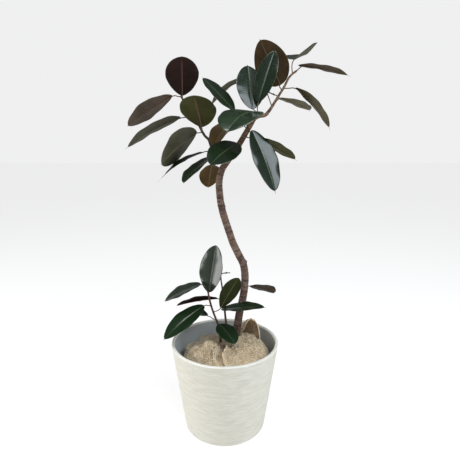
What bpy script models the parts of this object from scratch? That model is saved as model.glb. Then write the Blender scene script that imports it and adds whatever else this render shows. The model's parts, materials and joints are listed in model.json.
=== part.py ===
"""Potted rubber plant: a fibre-clay planter, a nursery pot of soil under a burlap cover,
one bent woody stem with a side branch, two young shoots and their leaves.

Metres, +Z up.  The origin is the middle of the planter's underside, the viewer stands on -Y.
Headings are degrees in plan: 0 points to +X, 90 to +Y, 180 to -X, -90 to the viewer.
"""

import math
from collections import namedtuple

import bmesh
import bpy
from mathutils import Matrix, Vector, noise

MM = 0.001
GAP = 0.4 * MM                      # clearance between pieces that touch

# Planter
RIM_RADIUS = 0.155
BASE_RADIUS = 0.1185
PLANTER_HEIGHT = 0.263
WALL = 0.009
FLOOR = 0.012
FOOT_ROUND = 0.010
RIM_ROUND = 0.0035
DRAIN_HOLES = 3
DRAIN_RADIUS = 0.009
DRAIN_RING = 0.060
PLANTER_SIDES = 60

# Nursery pot inside the planter
POT_CENTRE = Vector((0.004, 0.000, FLOOR + GAP))
POT_TOP_RADIUS = 0.121
POT_BASE_RADIUS = 0.092
POT_HEIGHT = 0.205
POT_WALL = 0.0016
POT_LIP = 0.004
POT_HOLES = 6
POT_HOLE_RADIUS = 0.007
POT_HOLE_RING = 0.057
POT_SIDES = 40

# Soil and burlap, as heights above the planter's underside
SOIL_EDGE = 0.207
SOIL_DOME = 0.030
BURLAP_EDGE = 0.229
BURLAP_DOME = 0.034
BURLAP_RADIUS = 0.125
BURLAP_THICK = 0.006
BURLAP_TUCK = 0.002                 # how far the underside is drawn in

# Leaves
STALK_RADIUS = 1.3 * MM
LEAF_THICK = 1.2 * MM
RIB_THICK = 2.2 * MM
DRIP_TIP = 0.04                     # share of the blade's length
DRIP_WIDTH = 0.08                   # share of the blade's half width
BLADE_STATIONS = (0.04, 0.13, 0.28, 0.45, 0.62, 0.78, 0.90, 0.96)
STALK_STATIONS = 3

Leaf = namedtuple("Leaf", "name stem height heading rise stalk pitch length width arch roll fold swing",
                  defaults=(0,))

# name, stem, height on it (mm), heading, stalk's rise, stalk (mm), blade's pitch, length and
# width (mm), arch towards the tip, roll (left edge up), fold of the halves, swing of the
# stalk's foot from the heading; angles in degrees
CROWN = (
    Leaf("crown_leaf_01", "side_branch", 942, -83, 30, 8, 34, 140, 82, 8, 0, 4),
    Leaf("crown_leaf_02", "side_branch", 943, 190, 20, 20, -30, 144, 68, 8, 26, 4),
    Leaf("crown_leaf_03", "side_branch", 895, 200, -4, 40, -20, 162, 66, 20, 22, 6),
    Leaf("crown_leaf_04", "side_branch", 856, -94, 50, 10, 32, 140, 90, 10, 0, 4),
    Leaf("crown_leaf_05", "side_branch", 854, 214, 0, 8, -34, 136, 92, 8, 42, 4),
    Leaf("crown_leaf_06", "side_branch", 806, 186, -2, 26, -19, 140, 56, 28, 2, 6),
    Leaf("crown_leaf_07", "side_branch", 792, 239, 10, 18, -17, 146, 62, 20, 14, 8),
    Leaf("crown_leaf_08", "stem", 757, 100, 30, 26, -33, 112, 57, 12, 0, 4, 80),
    Leaf("crown_leaf_09", "stem", 818, 242, 20, 18, -12, 156, 70, 16, -28, 4, 40),
    Leaf("crown_leaf_10", "stem", 858, 140, 55, 26, 0, 135, 60, 78, 0, 4),
    Leaf("crown_leaf_11", "stem", 880, 165, 30, 50, 47, 126, 62, 4, -24, 6),
    Leaf("crown_leaf_12", "stem", 920, 160, 70, 96, -4, 150, 52, 50, 0, 8, -25),
    Leaf("crown_leaf_13", "stem", 877, 105, 60, 20, 72, 130, 88, 6, 0, 6, -60),
    Leaf("crown_leaf_14", "stem", 895, 238, 60, 15, -4, 155, 94, 40, -8, 4),
    Leaf("crown_leaf_15", "stem", 895, 25, 84, 32, 71, 158, 54, 2, 45, 8, 60),
    Leaf("crown_leaf_16", "stem", 967, 186, 66, 14, 64, 130, 84, 2, 68, 4),
    Leaf("crown_leaf_17", "stem", 1012, 62, 85, 38, 20, 140, 88, 6, -14, 20),
    Leaf("crown_leaf_18", "stem", 1022, 0, 40, 10, -5, 136, 56, 14, 4, 6),
    Leaf("crown_leaf_19", "stem", 972, 2, 10, 34, -36, 150, 62, 26, -2, 6),
    Leaf("crown_leaf_20", "stem", 930, 45, 45, 20, -7, 148, 60, 6, 6, 6, -60),
    Leaf("crown_leaf_21", "stem", 952, 175, 30, 6, 20, 22, 10, 0, 0, 8),
    Leaf("crown_leaf_22", "stem", 862, -24, -40, 20, -62, 160, 74, 12, 28, 6),
    Leaf("crown_leaf_23", "stem", 838, 22, 10, 24, -21, 150, 62, 8, 0, 6),
)
BASAL = (
    Leaf("basal_leaf_01", "left_shoot", 388, 55, 80, 3, 76, 132, 80, 2, 0, 10),
    Leaf("basal_leaf_02", "left_shoot", 388, 190, 70, 32, -16, 120, 60, 16, -2, 6),
    Leaf("basal_leaf_03", "right_shoot", 360, 183, 20, 30, -4, 122, 50, 12, 32, 10, -75),
    Leaf("basal_leaf_04", "left_shoot", 352, 214, 28, 22, -22, 150, 66, 14, -14, 6),
    Leaf("basal_leaf_05", "left_shoot", 304, 165, 32, 26, 14, 75, 42, 20, 0, 6),
    Leaf("basal_leaf_06", "left_shoot", 334, -40, 30, 32, 60, 126, 46, 4, -45, 4),
    Leaf("basal_leaf_07", "right_shoot", 343, -34, 30, 16, 17, 124, 50, 8, 12, 6, -14),
    Leaf("basal_leaf_08", "stem", 411, 40, 10, 8, -16, 120, 56, 18, 2, 6),
    Leaf("basal_leaf_09", "left_shoot", 296, -55, 30, 6, -14, 88, 60, 16, 0, 4),
    Leaf("basal_leaf_10", "right_shoot", 453, 8, 20, 8, 4, 18, 7, 10, 0, 8),
)

# Routes of the stems, from the soil upwards, and their thickness by height
STEM_ROUTE = (
    (0.024, 0.046, 0.165), (0.028, 0.047, 0.210), (0.033, 0.045, 0.255), (0.039, 0.042, 0.300),
    (0.045, 0.038, 0.340), (0.054, 0.034, 0.385), (0.058, 0.030, 0.422), (0.058, 0.026, 0.460),
    (0.052, 0.022, 0.490), (0.040, 0.018, 0.515), (0.024, 0.014, 0.550), (0.014, 0.010, 0.580),
    (-0.006, 0.004, 0.645), (-0.014, 0.000, 0.700), (-0.013, -0.002, 0.735),
    (-0.004, -0.003, 0.762), (0.010, -0.003, 0.782), (0.040, 0.000, 0.825),
    (0.055, 0.001, 0.850), (0.071, 0.003, 0.877), (0.081, 0.006, 0.891), (0.093, 0.010, 0.897),
    (0.108, 0.018, 0.900), (0.120, 0.028, 0.912), (0.133, 0.038, 0.931), (0.150, 0.052, 0.958),
    (0.164, 0.062, 0.980), (0.176, 0.068, 1.003), (0.185, 0.070, 1.013), (0.197, 0.072, 1.022),
)
STEM_DIAMETERS = (
    (0.165, 30), (0.235, 26), (0.300, 23), (0.550, 20.5), (0.700, 19), (0.800, 16.5),
    (0.880, 13.5), (0.898, 9.5), (0.930, 7.5), (1.022, 5.5),
)
BRANCH_ROUTE = (
    (0.002, -0.003, 0.770), (-0.012, -0.001, 0.784), (-0.025, 0.001, 0.802), (-0.036, 0.002, 0.820),
    (-0.042, 0.003, 0.836), (-0.052, 0.004, 0.846),
    (-0.060, 0.005, 0.859), (-0.074, 0.008, 0.886), (-0.090, 0.010, 0.914),
    (-0.104, 0.012, 0.934), (-0.112, 0.013, 0.944), (-0.113, 0.013, 0.952),
)
BRANCH_DIAMETERS = ((0.770, 8), (0.820, 7), (0.900, 6), (0.952, 5))
LEFT_SHOOT_ROUTE = (
    (-0.012, 0.030, 0.190), (-0.013, 0.033, 0.225), (-0.015, 0.036, 0.262), (-0.022, 0.036, 0.297),
    (-0.0285, 0.036, 0.316), (-0.036, 0.035, 0.338), (-0.043, 0.034, 0.363), (-0.049, 0.033, 0.393),
)
RIGHT_SHOOT_ROUTE = (
    (0.003, 0.030, 0.190), (0.005, 0.033, 0.225), (0.006, 0.036, 0.262), (0.003, 0.036, 0.300),
    (0.000, 0.036, 0.332), (-0.004, 0.035, 0.372), (-0.007, 0.034, 0.404), (-0.011, 0.0325, 0.434),
    (-0.012, 0.0325, 0.455),
)
SHOOT_DIAMETERS = ((0.190, 8), (0.262, 7), (0.390, 5.5), (0.455, 3.5))

# Folds of the burlap: x, y, reach and height of each soft bump or hollow
BURLAP_FOLDS = (
    (-0.060, -0.030, 0.045, 0.008), (0.070, -0.020, 0.050, 0.010), (0.066, 0.080, 0.026, 0.056),
    (0.010, -0.055, 0.022, -0.012), (-0.040, 0.070, 0.050, -0.012), (0.060, 0.030, 0.040, 0.010),
    (0.104, 0.062, 0.028, 0.052),
)


def clear_scene():
    for item in list(bpy.data.objects):
        bpy.data.objects.remove(item, do_unlink=True)


def collection(name):
    made = bpy.data.collections.new(name)
    bpy.context.scene.collection.children.link(made)
    return made


def material(name, colour, roughness, metallic=0.0):
    made = bpy.data.materials.new(name)
    made.use_nodes = True
    shader = made.node_tree.nodes["Principled BSDF"]
    shader.inputs["Base Color"].default_value = (*colour, 1.0)
    shader.inputs["Roughness"].default_value = roughness
    shader.inputs["Metallic"].default_value = metallic
    made.diffuse_color = (*colour, 1.0)
    return made


def add_object(name, mesh, finishes, group):
    item = bpy.data.objects.new(name, mesh)
    for finish in finishes:
        mesh.materials.append(finish)
    group.objects.link(item)
    return item


def mesh_from(bm, name):
    bmesh.ops.recalc_face_normals(bm, faces=bm.faces)
    mesh = bpy.data.meshes.new(name)
    bm.to_mesh(mesh)
    bm.free()
    return mesh


def turned(name, profile, sides, finish, group, closed=True):
    """(radius, height) points turned about Z; an open profile starts and ends on the axis."""
    bm = bmesh.new()
    corners = [bm.verts.new((radius, 0.0, height)) for radius, height in profile]
    for first, second in zip(corners, corners[1:] + corners[:1] if closed else corners[1:]):
        bm.edges.new((first, second))
    mesh = bpy.data.meshes.new(name)
    bm.to_mesh(mesh)
    bm.free()
    item = add_object(name, mesh, [finish], group)
    screw = item.modifiers.new("turn", "SCREW")
    screw.axis = "Z"
    screw.angle = math.tau
    screw.steps = sides
    screw.render_steps = sides
    screw.use_merge_vertices = True
    screw.merge_threshold = 0.0001
    return item


def arc(centre, radius, start, end, steps):
    """Points of a rounded corner in the profile's plane, angles in degrees."""
    points = []
    for step in range(steps + 1):
        angle = math.radians(start + (end - start) * step / steps)
        points.append((centre[0] + radius * math.cos(angle), centre[1] + radius * math.sin(angle)))
    return points


def cut(item, cutter, operation="DIFFERENCE"):
    cutter.hide_render = True
    cutter.display_type = "WIRE"
    boolean = item.modifiers.new(operation.lower(), "BOOLEAN")
    boolean.operation = operation
    boolean.object = cutter
    boolean.solver = "EXACT"


# ---------------------------------------------------------------- planter and nursery pot

def outer_radius(height):
    return BASE_RADIUS + (RIM_RADIUS - BASE_RADIUS) * height / PLANTER_HEIGHT


def holes_cutter(name, count, ring, radius, depth, cutters):
    """Upright pegs in a ring, to drill drain holes with."""
    bm = bmesh.new()
    for hole in range(count):
        angle = math.tau * hole / count
        place = Matrix.Translation((ring * math.cos(angle), ring * math.sin(angle), 0.0))
        bmesh.ops.create_cone(bm, cap_ends=True, segments=16, radius1=radius, radius2=radius,
                              depth=depth, matrix=place)
    return add_object(name, mesh_from(bm, name), [], cutters)


def build_planter(finish, group, cutters):
    """The inside from the middle of the floor up to the rim, then the outside down to the foot."""
    inside_floor = outer_radius(FLOOR) - WALL
    lip = PLANTER_HEIGHT - RIM_ROUND
    foot_top = FOOT_ROUND * 1.4
    profile = [(0.0, FLOOR), (inside_floor - FLOOR, FLOOR), (inside_floor, FLOOR * 1.7)]
    profile += arc((RIM_RADIUS - WALL + RIM_ROUND, lip), RIM_ROUND, 180, 90, 3)
    profile += arc((RIM_RADIUS - RIM_ROUND, lip), RIM_ROUND, 90, 0, 3)
    profile += [(outer_radius(foot_top), foot_top)]
    profile += arc((BASE_RADIUS - FOOT_ROUND, FOOT_ROUND), FOOT_ROUND, 0, -90, 4)
    profile += [(0.0, 0.0)]
    planter = turned("planter", profile, PLANTER_SIDES, finish, group, closed=False)
    cut(planter, holes_cutter("drain_cutter", DRAIN_HOLES, DRAIN_RING, DRAIN_RADIUS, 4 * FLOOR, cutters))
    return planter


def pot_radius(height):
    """Outer radius of the nursery pot at a height above its own underside."""
    return POT_BASE_RADIUS + (POT_TOP_RADIUS - POT_LIP - POT_BASE_RADIUS) * height / POT_HEIGHT


def build_nursery_pot(finish, group, cutters):
    lip_foot = POT_HEIGHT - 3 * POT_LIP
    profile = [
        (pot_radius(POT_HEIGHT) - POT_WALL, POT_HEIGHT), (POT_TOP_RADIUS, POT_HEIGHT),
        (POT_TOP_RADIUS, lip_foot), (POT_TOP_RADIUS - POT_WALL, lip_foot),
        (POT_TOP_RADIUS - POT_WALL, POT_HEIGHT - POT_WALL),
        (pot_radius(POT_HEIGHT), POT_HEIGHT - POT_WALL), (pot_radius(0), 0.0),
        (POT_HOLE_RADIUS, 0.0), (POT_HOLE_RADIUS, POT_WALL), (pot_radius(POT_WALL) - POT_WALL, POT_WALL),
    ]
    pot = turned("nursery_pot", profile, POT_SIDES, finish, group)
    pot.location = POT_CENTRE
    holes = holes_cutter("pot_hole_cutter", POT_HOLES, POT_HOLE_RING, POT_HOLE_RADIUS,
                         8 * POT_WALL, cutters)
    holes.location = POT_CENTRE
    cut(pot, holes)
    return pot


# ---------------------------------------------------------------- soil and burlap

def dome(edge, rise, radius, reach):
    """Height of a soft dome at a distance from its middle."""
    return edge + rise * math.cos(0.5 * math.pi * min(radius / reach, 1.0)) ** 1.2


def soil_top(x, y):
    radius = math.hypot(x - POT_CENTRE.x, y - POT_CENTRE.y)
    grain = 1.5 * MM * noise.noise(Vector((x * 40, y * 40, 3.0)))
    return dome(SOIL_EDGE, SOIL_DOME, radius, POT_TOP_RADIUS) + grain


def burlap_top(x, y):
    radius = math.hypot(x - POT_CENTRE.x, y - POT_CENTRE.y)
    height = dome(BURLAP_EDGE, BURLAP_DOME, radius, BURLAP_RADIUS)
    for fold_x, fold_y, reach, rise in BURLAP_FOLDS:
        near = math.hypot(x - fold_x, y - fold_y) / reach
        height += rise * math.exp(-near * near)
    return height


def disc_solid(name, top, bottom, rings, sides, finish, group):
    """A closed disc; top and bottom are each (edge radius, height over the plan)."""
    bm = bmesh.new()
    centre = POT_CENTRE
    layers = []
    for edge, height_at in (top, bottom):
        middle = bm.verts.new((centre.x, centre.y, height_at(centre.x, centre.y)))
        circles = []
        for ring in range(1, rings + 1):
            circle = []
            for side in range(sides):
                angle = math.tau * side / sides
                x = centre.x + edge * ring / rings * math.cos(angle)
                y = centre.y + edge * ring / rings * math.sin(angle)
                circle.append(bm.verts.new((x, y, height_at(x, y))))
            circles.append(circle)
        layers.append((middle, circles))
    for middle, circles in layers:
        for side in range(sides):
            following = (side + 1) % sides
            bm.faces.new((middle, circles[0][side], circles[0][following]))
            for inner, outer in zip(circles, circles[1:]):
                bm.faces.new((inner[side], outer[side], outer[following], inner[following]))
    for side in range(sides):
        following = (side + 1) % sides
        upper, lower = layers[0][1][-1], layers[1][1][-1]
        bm.faces.new((upper[side], lower[side], lower[following], upper[following]))
    bmesh.ops.triangulate(bm, faces=bm.faces)
    return add_object(name, mesh_from(bm, name), [finish], group)


def build_soil(finish, group):
    floor = POT_CENTRE.z + POT_WALL + GAP
    top_edge = pot_radius(SOIL_EDGE - POT_CENTRE.z) - POT_WALL - 2 * GAP
    low_edge = pot_radius(0) - POT_WALL - 2 * GAP
    return disc_solid("soil", (top_edge, soil_top), (low_edge, lambda x, y: floor), 4, 32,
                      finish, group)


def burlap_underside(x, y):
    return max(burlap_top(x, y) - BURLAP_THICK, soil_top(x, y) + 2 * GAP)


def build_burlap(finish, group):
    return disc_solid("burlap_cover", (BURLAP_RADIUS, burlap_top),
                      (BURLAP_RADIUS - BURLAP_TUCK, burlap_underside), 8, 40, finish, group)


# ---------------------------------------------------------------- stems

def smooth_route(points, spacing):
    """Points of a smooth curve through a route, about one every spacing."""
    knots = [Vector(point) for point in points]
    knots = [knots[0] * 2 - knots[1], *knots, knots[-1] * 2 - knots[-2]]
    curve = []
    for before, start, end, after in zip(knots, knots[1:], knots[2:], knots[3:]):
        steps = max(1, round((end - start).length / spacing))
        for step in range(steps):
            t = step / steps
            curve.append(0.5 * (2 * start + (end - before) * t
                                + (2 * before - 5 * start + 4 * end - after) * t * t
                                + (3 * start - before - 3 * end + after) * t ** 3))
    curve.append(knots[-2])
    return curve


def thickness_at(height, table):
    """Radius in metres, read from a table of (height, diameter in millimetres)."""
    if height <= table[0][0]:
        return table[0][1] * MM / 2
    for (low, thick), (high, thin) in zip(table, table[1:]):
        if height <= high:
            return (thick + (thin - thick) * (height - low) / (high - low)) * MM / 2
    return table[-1][1] * MM / 2


def tube(name, route, table, extra, finish, group, resolution=3, spacing=0.014):
    """A tapered stem along a route, as a closed mesh; extra widens it all round."""
    data = bpy.data.curves.new(name, "CURVE")
    data.dimensions = "3D"
    data.bevel_depth = 1.0
    data.bevel_resolution = resolution
    data.use_fill_caps = True
    points = smooth_route(route, spacing)
    spline = data.splines.new("POLY")
    spline.points.add(len(points) - 1)
    for knot, point in zip(spline.points, points):
        knot.co = (*point, 1.0)
        knot.radius = thickness_at(point.z, table) + extra
    guide = bpy.data.objects.new(name + "_guide", data)
    group.objects.link(guide)
    bpy.context.view_layer.update()
    evaluated = guide.evaluated_get(bpy.context.evaluated_depsgraph_get())
    mesh = bpy.data.meshes.new_from_object(evaluated)
    bpy.data.objects.remove(guide, do_unlink=True)
    bm = bmesh.new()
    bm.from_mesh(mesh)
    bmesh.ops.remove_doubles(bm, verts=bm.verts, dist=0.01 * MM)
    bmesh.ops.recalc_face_normals(bm, faces=bm.faces)
    bm.to_mesh(mesh)
    bm.free()
    mesh.name = name
    mesh.materials.clear()
    return add_object(name, mesh, [finish] if finish else [], group)


def buried_part(route):
    """The lowest stretch of a stem, begun a little deeper so that a hole runs past its end."""
    below = Vector(route[0]) + 0.05 * (Vector(route[0]) - Vector(route[1]))
    return (below, *route[:4])


# ---------------------------------------------------------------- leaves

def direction(heading, pitch):
    heading, pitch = math.radians(heading), math.radians(pitch)
    level = math.cos(pitch)
    return Vector((level * math.cos(heading), level * math.sin(heading), math.sin(pitch)))


def point_on(route, height):
    """The place and direction of a stem's middle at a height."""
    points = smooth_route(route, 0.004)
    for low, high in zip(points, points[1:]):
        if low.z <= height <= high.z:
            share = (height - low.z) / max(high.z - low.z, 1e-9)
            return low.lerp(high, share), (high - low).normalized()
    return points[-1], (points[-1] - points[-2]).normalized()


def blade_half_width(share):
    """Half width of a blade, as a share of its widest, along its length from 0 to 1."""
    body = 1.0 - DRIP_TIP
    if share >= body:
        return DRIP_WIDTH * (1.0 - share) / DRIP_TIP
    return max(DRIP_WIDTH, math.sin(math.pi * share / body) ** 0.62)


def midrib(leaf, start):
    """Stations along stalk and blade, (place, tangent, heading, half width, half thickness)."""
    stations = []
    place = start.copy()
    for step in range(STALK_STATIONS):
        share = step / STALK_STATIONS
        pitch = leaf.rise + (leaf.pitch - leaf.rise) * share * share
        heading = leaf.heading + leaf.swing * (1.0 - share)
        tangent = direction(heading, pitch)
        stations.append((place.copy(), tangent, heading, STALK_RADIUS, STALK_RADIUS))
        place += tangent * leaf.stalk * MM / STALK_STATIONS
    previous = 0.0
    for share in (0.0, *BLADE_STATIONS):
        tangent = direction(leaf.heading, leaf.pitch - leaf.arch * share ** 1.4)
        place += tangent * leaf.length * MM * (share - previous)
        previous = share
        half = STALK_RADIUS if share == 0.0 else blade_half_width(share) * leaf.width * MM / 2
        rib = RIB_THICK + (LEAF_THICK * 0.6 - RIB_THICK) * share
        stations.append((place.copy(), tangent, leaf.heading, half, rib / 2))
    tip = place + direction(leaf.heading, leaf.pitch - leaf.arch) * leaf.length * MM * (1 - previous)
    return stations, tip


def leaf_section(station, leaf, on_blade):
    """Eight corners round the leaf, from its left edge over the top and back underneath."""
    place, tangent, heading, half, thick = station
    level = Vector((-math.sin(math.radians(heading)), math.cos(math.radians(heading)), 0.0))
    normal = tangent.cross(level).normalized()
    roll = math.radians(leaf.roll) if on_blade else 0.0
    across = level * math.cos(roll) + normal * math.sin(roll)
    upward = normal * math.cos(roll) - level * math.sin(roll)
    fold = math.tan(math.radians(leaf.fold)) if on_blade else 0.0
    skin = LEAF_THICK / 2 if on_blade else thick * 0.8
    plan = ((1.0, 0.0), (0.55, skin), (0.0, thick), (-0.55, skin),
            (-1.0, 0.0), (-0.55, -skin), (0.0, -thick), (0.55, -skin))
    corners = []
    for side, lift in plan:
        corners.append(place + across * side * half + upward * (lift + fold * abs(side) * half))
    return corners


def build_leaf(leaf, stems, finishes, group):
    route, table = stems[leaf.stem]
    centre, axis = point_on(route, leaf.height * MM)
    outward = direction(leaf.heading + leaf.swing, leaf.rise)
    across = max(axis.cross(outward).length, 0.35)
    along = abs(axis.dot(outward))
    reach = (thickness_at(centre.z, table) + GAP + STALK_RADIUS * along) / across
    stations, tip = midrib(leaf, centre + outward * reach)
    bm = bmesh.new()
    rings = []
    for index, station in enumerate(stations):
        corners = leaf_section(station, leaf, index > STALK_STATIONS)
        rings.append([bm.verts.new(corner) for corner in corners])
    bm.faces.new(rings[0])
    for lower, upper in zip(rings, rings[1:]):
        for side in range(8):
            following = (side + 1) % 8
            face = bm.faces.new((lower[side], upper[side], upper[following], lower[following]))
            face.material_index = 0 if side < 4 else 1
    point = bm.verts.new(tip)
    for side in range(8):
        face = bm.faces.new((rings[-1][side], point, rings[-1][(side + 1) % 8]))
        face.material_index = 0 if side < 4 else 1
    bmesh.ops.triangulate(bm, faces=bm.faces)
    for face in bm.faces:
        face.smooth = True
    return add_object(leaf.name, mesh_from(bm, leaf.name), finishes, group)


def main():
    clear_scene()
    group = collection("potted_rubber_plant")
    cutters = collection("cutters")
    clay = material("fibre_clay", (0.68, 0.66, 0.57), 0.75)
    plastic = material("black_plastic", (0.03, 0.03, 0.03), 0.5)
    earth = material("soil", (0.06, 0.04, 0.025), 0.95)
    burlap = material("burlap", (0.48, 0.36, 0.22), 0.95)
    bark = material("bark", (0.16, 0.095, 0.07), 0.8)
    shoot = material("young_stem", (0.20, 0.12, 0.07), 0.6)
    leaf_top = material("leaf_top", (0.012, 0.045, 0.014), 0.25)
    leaf_under = material("leaf_under", (0.075, 0.055, 0.03), 0.5)

    build_planter(clay, group, cutters)
    build_nursery_pot(plastic, group, cutters)
    soil = build_soil(earth, group)
    cover = build_burlap(burlap, group)

    stems = {
        "stem": (STEM_ROUTE, STEM_DIAMETERS),
        "side_branch": (BRANCH_ROUTE, BRANCH_DIAMETERS),
        "left_shoot": (LEFT_SHOOT_ROUTE, SHOOT_DIAMETERS),
        "right_shoot": (RIGHT_SHOOT_ROUTE, SHOOT_DIAMETERS),
    }
    stem = tube("stem", *stems["stem"], 0.0, bark, group)
    cut(stem, tube("side_branch", *stems["side_branch"], 0.0, bark, cutters), "UNION")
    for name in ("left_shoot", "right_shoot"):
        tube(name, *stems[name], 0.0, shoot, group, 2)
    for name in ("stem", "left_shoot", "right_shoot"):
        route, table = stems[name]
        cut(soil, tube(name + "_in_soil", buried_part(route), table, GAP, None, cutters))
        cut(cover, tube(name + "_in_burlap", buried_part(route), table, 4 * GAP, None, cutters))
    for leaf in CROWN + BASAL:
        build_leaf(leaf, stems, [leaf_top, leaf_under], group)


main()
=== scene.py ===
# %% [markdown]
# # A potted rubber plant
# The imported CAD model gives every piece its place: where each leaf starts, how it leans, how
# the stems run and how wide the planter is. This notebook reads those places back and grows a
# finer piece on each of them: veined leaves, ringed bark, brushed clay and crumpled burlap.
# Everything is in metres, +Z up, with the planter standing on the floor at the origin.

import json
import math

import bmesh
import bpy
import numpy as np
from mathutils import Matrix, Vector, noise

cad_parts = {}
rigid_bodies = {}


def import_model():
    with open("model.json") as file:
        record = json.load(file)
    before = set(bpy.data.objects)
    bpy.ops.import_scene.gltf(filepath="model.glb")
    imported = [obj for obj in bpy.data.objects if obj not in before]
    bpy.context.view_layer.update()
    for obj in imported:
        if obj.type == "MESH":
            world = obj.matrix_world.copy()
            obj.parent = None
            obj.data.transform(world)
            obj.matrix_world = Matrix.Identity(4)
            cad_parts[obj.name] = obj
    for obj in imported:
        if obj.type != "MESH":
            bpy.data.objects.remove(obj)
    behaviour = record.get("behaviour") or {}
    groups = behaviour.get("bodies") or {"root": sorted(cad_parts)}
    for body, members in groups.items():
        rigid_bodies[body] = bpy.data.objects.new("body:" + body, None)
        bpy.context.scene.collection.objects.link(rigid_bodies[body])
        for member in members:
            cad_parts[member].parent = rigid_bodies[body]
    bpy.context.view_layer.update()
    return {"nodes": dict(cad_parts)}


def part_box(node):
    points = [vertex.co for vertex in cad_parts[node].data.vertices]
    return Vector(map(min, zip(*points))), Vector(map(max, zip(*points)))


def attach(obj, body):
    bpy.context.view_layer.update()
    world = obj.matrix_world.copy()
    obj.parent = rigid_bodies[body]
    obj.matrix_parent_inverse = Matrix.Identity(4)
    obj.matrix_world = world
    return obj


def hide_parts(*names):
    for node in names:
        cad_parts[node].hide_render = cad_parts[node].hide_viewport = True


for left_over in list(bpy.data.objects):
    bpy.data.objects.remove(left_over, do_unlink=True)
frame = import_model()
NODES = frame["nodes"]
BODY = "root"
MM = 0.001
LEAF_NAMES = sorted(name for name in NODES if "_leaf_" in name)

# %% [markdown]
# ## Small tools for shader nodes
# A material is a tree of nodes, and writing one by hand takes three lines for each node. These
# helpers add a node, set it and link it in one line, so the cells below read like recipes.

# %% Shader helpers
def add_node(tree, kind, inputs=None, **settings):
    """Adds a shader node. inputs maps a socket's name or number to a value or to an output."""
    made = tree.nodes.new("ShaderNode" + kind)
    for name, value in settings.items():
        setattr(made, name, value)
    for name, value in (inputs or {}).items():
        if isinstance(value, bpy.types.NodeSocket):
            tree.links.new(value, made.inputs[name])
        else:
            made.inputs[name].default_value = value
    return made


def maths(tree, operation, first, second=0.0, third=0.0, clamp=False):
    sockets = {0: first, 1: second}
    if operation in {"MULTIPLY_ADD", "SMOOTH_MIN", "SMOOTH_MAX"}:
        sockets[2] = third
    return add_node(tree, "Math", sockets, operation=operation, use_clamp=clamp).outputs[0]


def blend(tree, share, first, second):
    """A colour between two others."""
    made = add_node(tree, "Mix", {0: share, 6: first, 7: second}, data_type="RGBA")
    return made.outputs[2]


def graded(tree, value, low, high, from_low=0.0, from_high=1.0):
    """Maps a value smoothly from one range to another and holds it there."""
    made = add_node(tree, "MapRange", {"Value": value, "From Min": from_low, "From Max": from_high,
                                       "To Min": low, "To Max": high}, interpolation_type="SMOOTHSTEP")
    return made.outputs[0]


def rgb(red, green, blue):
    return (red, green, blue, 1.0)


# %% Group and material makers
def new_group(name, inputs, outputs):
    """An empty node group; inputs are (name, default) and outputs are names of plain values."""
    tree = bpy.data.node_groups.new(name, "ShaderNodeTree")
    for label, default in inputs:
        kind = "NodeSocketVector" if default is None else "NodeSocketFloat"
        socket = tree.interface.new_socket(label, in_out="INPUT", socket_type=kind)
        if default is not None:
            socket.default_value = default
    for label in outputs:
        tree.interface.new_socket(label, in_out="OUTPUT", socket_type="NodeSocketFloat")
    return tree, tree.nodes.new("NodeGroupInput").outputs, tree.nodes.new("NodeGroupOutput").inputs


def use_group(tree, group, inputs=None):
    made = add_node(tree, "Group", node_tree=group)
    for name, value in (inputs or {}).items():
        if isinstance(value, bpy.types.NodeSocket):
            tree.links.new(value, made.inputs[name])
        else:
            made.inputs[name].default_value = value
    return made.outputs


def new_material(name, **constants):
    """A Principled material; constants are the sockets that stay the same all over."""
    made = bpy.data.materials.new(name)
    made.use_nodes = True
    tree = made.node_tree
    shader = tree.nodes["Principled BSDF"]
    for label, value in constants.items():
        shader.inputs[label.replace("_", " ")].default_value = value
    return made, tree, shader.inputs


def bump(tree, height, strength, distance):
    made = add_node(tree, "Bump", {"Height": height, "Strength": strength, "Distance": distance})
    return made.outputs[0]


# %% [markdown]
# ## Effects that several materials share
# Four node groups are built once. `mottle` breaks up a flat colour, `fine_dust` lies on what
# faces up, `leaf_veins` draws midrib, side veins and margin on both faces of a leaf, and
# `weave` lays the two threads of a burlap over and under each other.

# %% Mottle and dust
mottle, mottle_in, mottle_out = new_group(
    "mottle", [("Vector", None), ("Scale", 30.0), ("Contrast", 1.0)], ["Mask"])
cloud = add_node(mottle, "TexNoise", {"Vector": mottle_in["Vector"], "Scale": mottle_in["Scale"],
                                      "Detail": 5.0, "Roughness": 0.62})
centred = maths(mottle, "SUBTRACT", cloud.outputs[0], 0.5)
spread = maths(mottle, "MULTIPLY", centred, maths(mottle, "MULTIPLY", mottle_in["Contrast"], 2.5))
mottle.links.new(maths(mottle, "ADD", spread, 0.5, clamp=True), mottle_out["Mask"])

fine_dust, dust_in, dust_out = new_group("fine_dust", [("Amount", 0.3)], ["Mask"])
facing = add_node(fine_dust, "SeparateXYZ", {0: add_node(fine_dust, "NewGeometry").outputs["Normal"]})
upward = graded(fine_dust, facing.outputs["Z"], 0.0, 1.0, 0.3, 1.0)
place = add_node(fine_dust, "TexCoord").outputs["Object"]
patches = use_group(fine_dust, mottle, {"Vector": place, "Scale": 60.0, "Contrast": 1.0})
drift = maths(fine_dust, "MULTIPLY", upward, patches["Mask"])
fine_dust.links.new(maths(fine_dust, "MULTIPLY", drift, dust_in["Amount"], clamp=True),
                    dust_out["Mask"])
print("groups:", [group.name for group in bpy.data.node_groups])

# %% [markdown]
# The leaf's texture space is simple: U runs across the blade from 0 to 1 with the midrib at
# one half, and V runs from the stalk to the tip. A side vein leaves the midrib and slants
# towards the tip, so it is a line of equal `V - slant * |U|`, and a sine of that draws them all.

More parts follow.
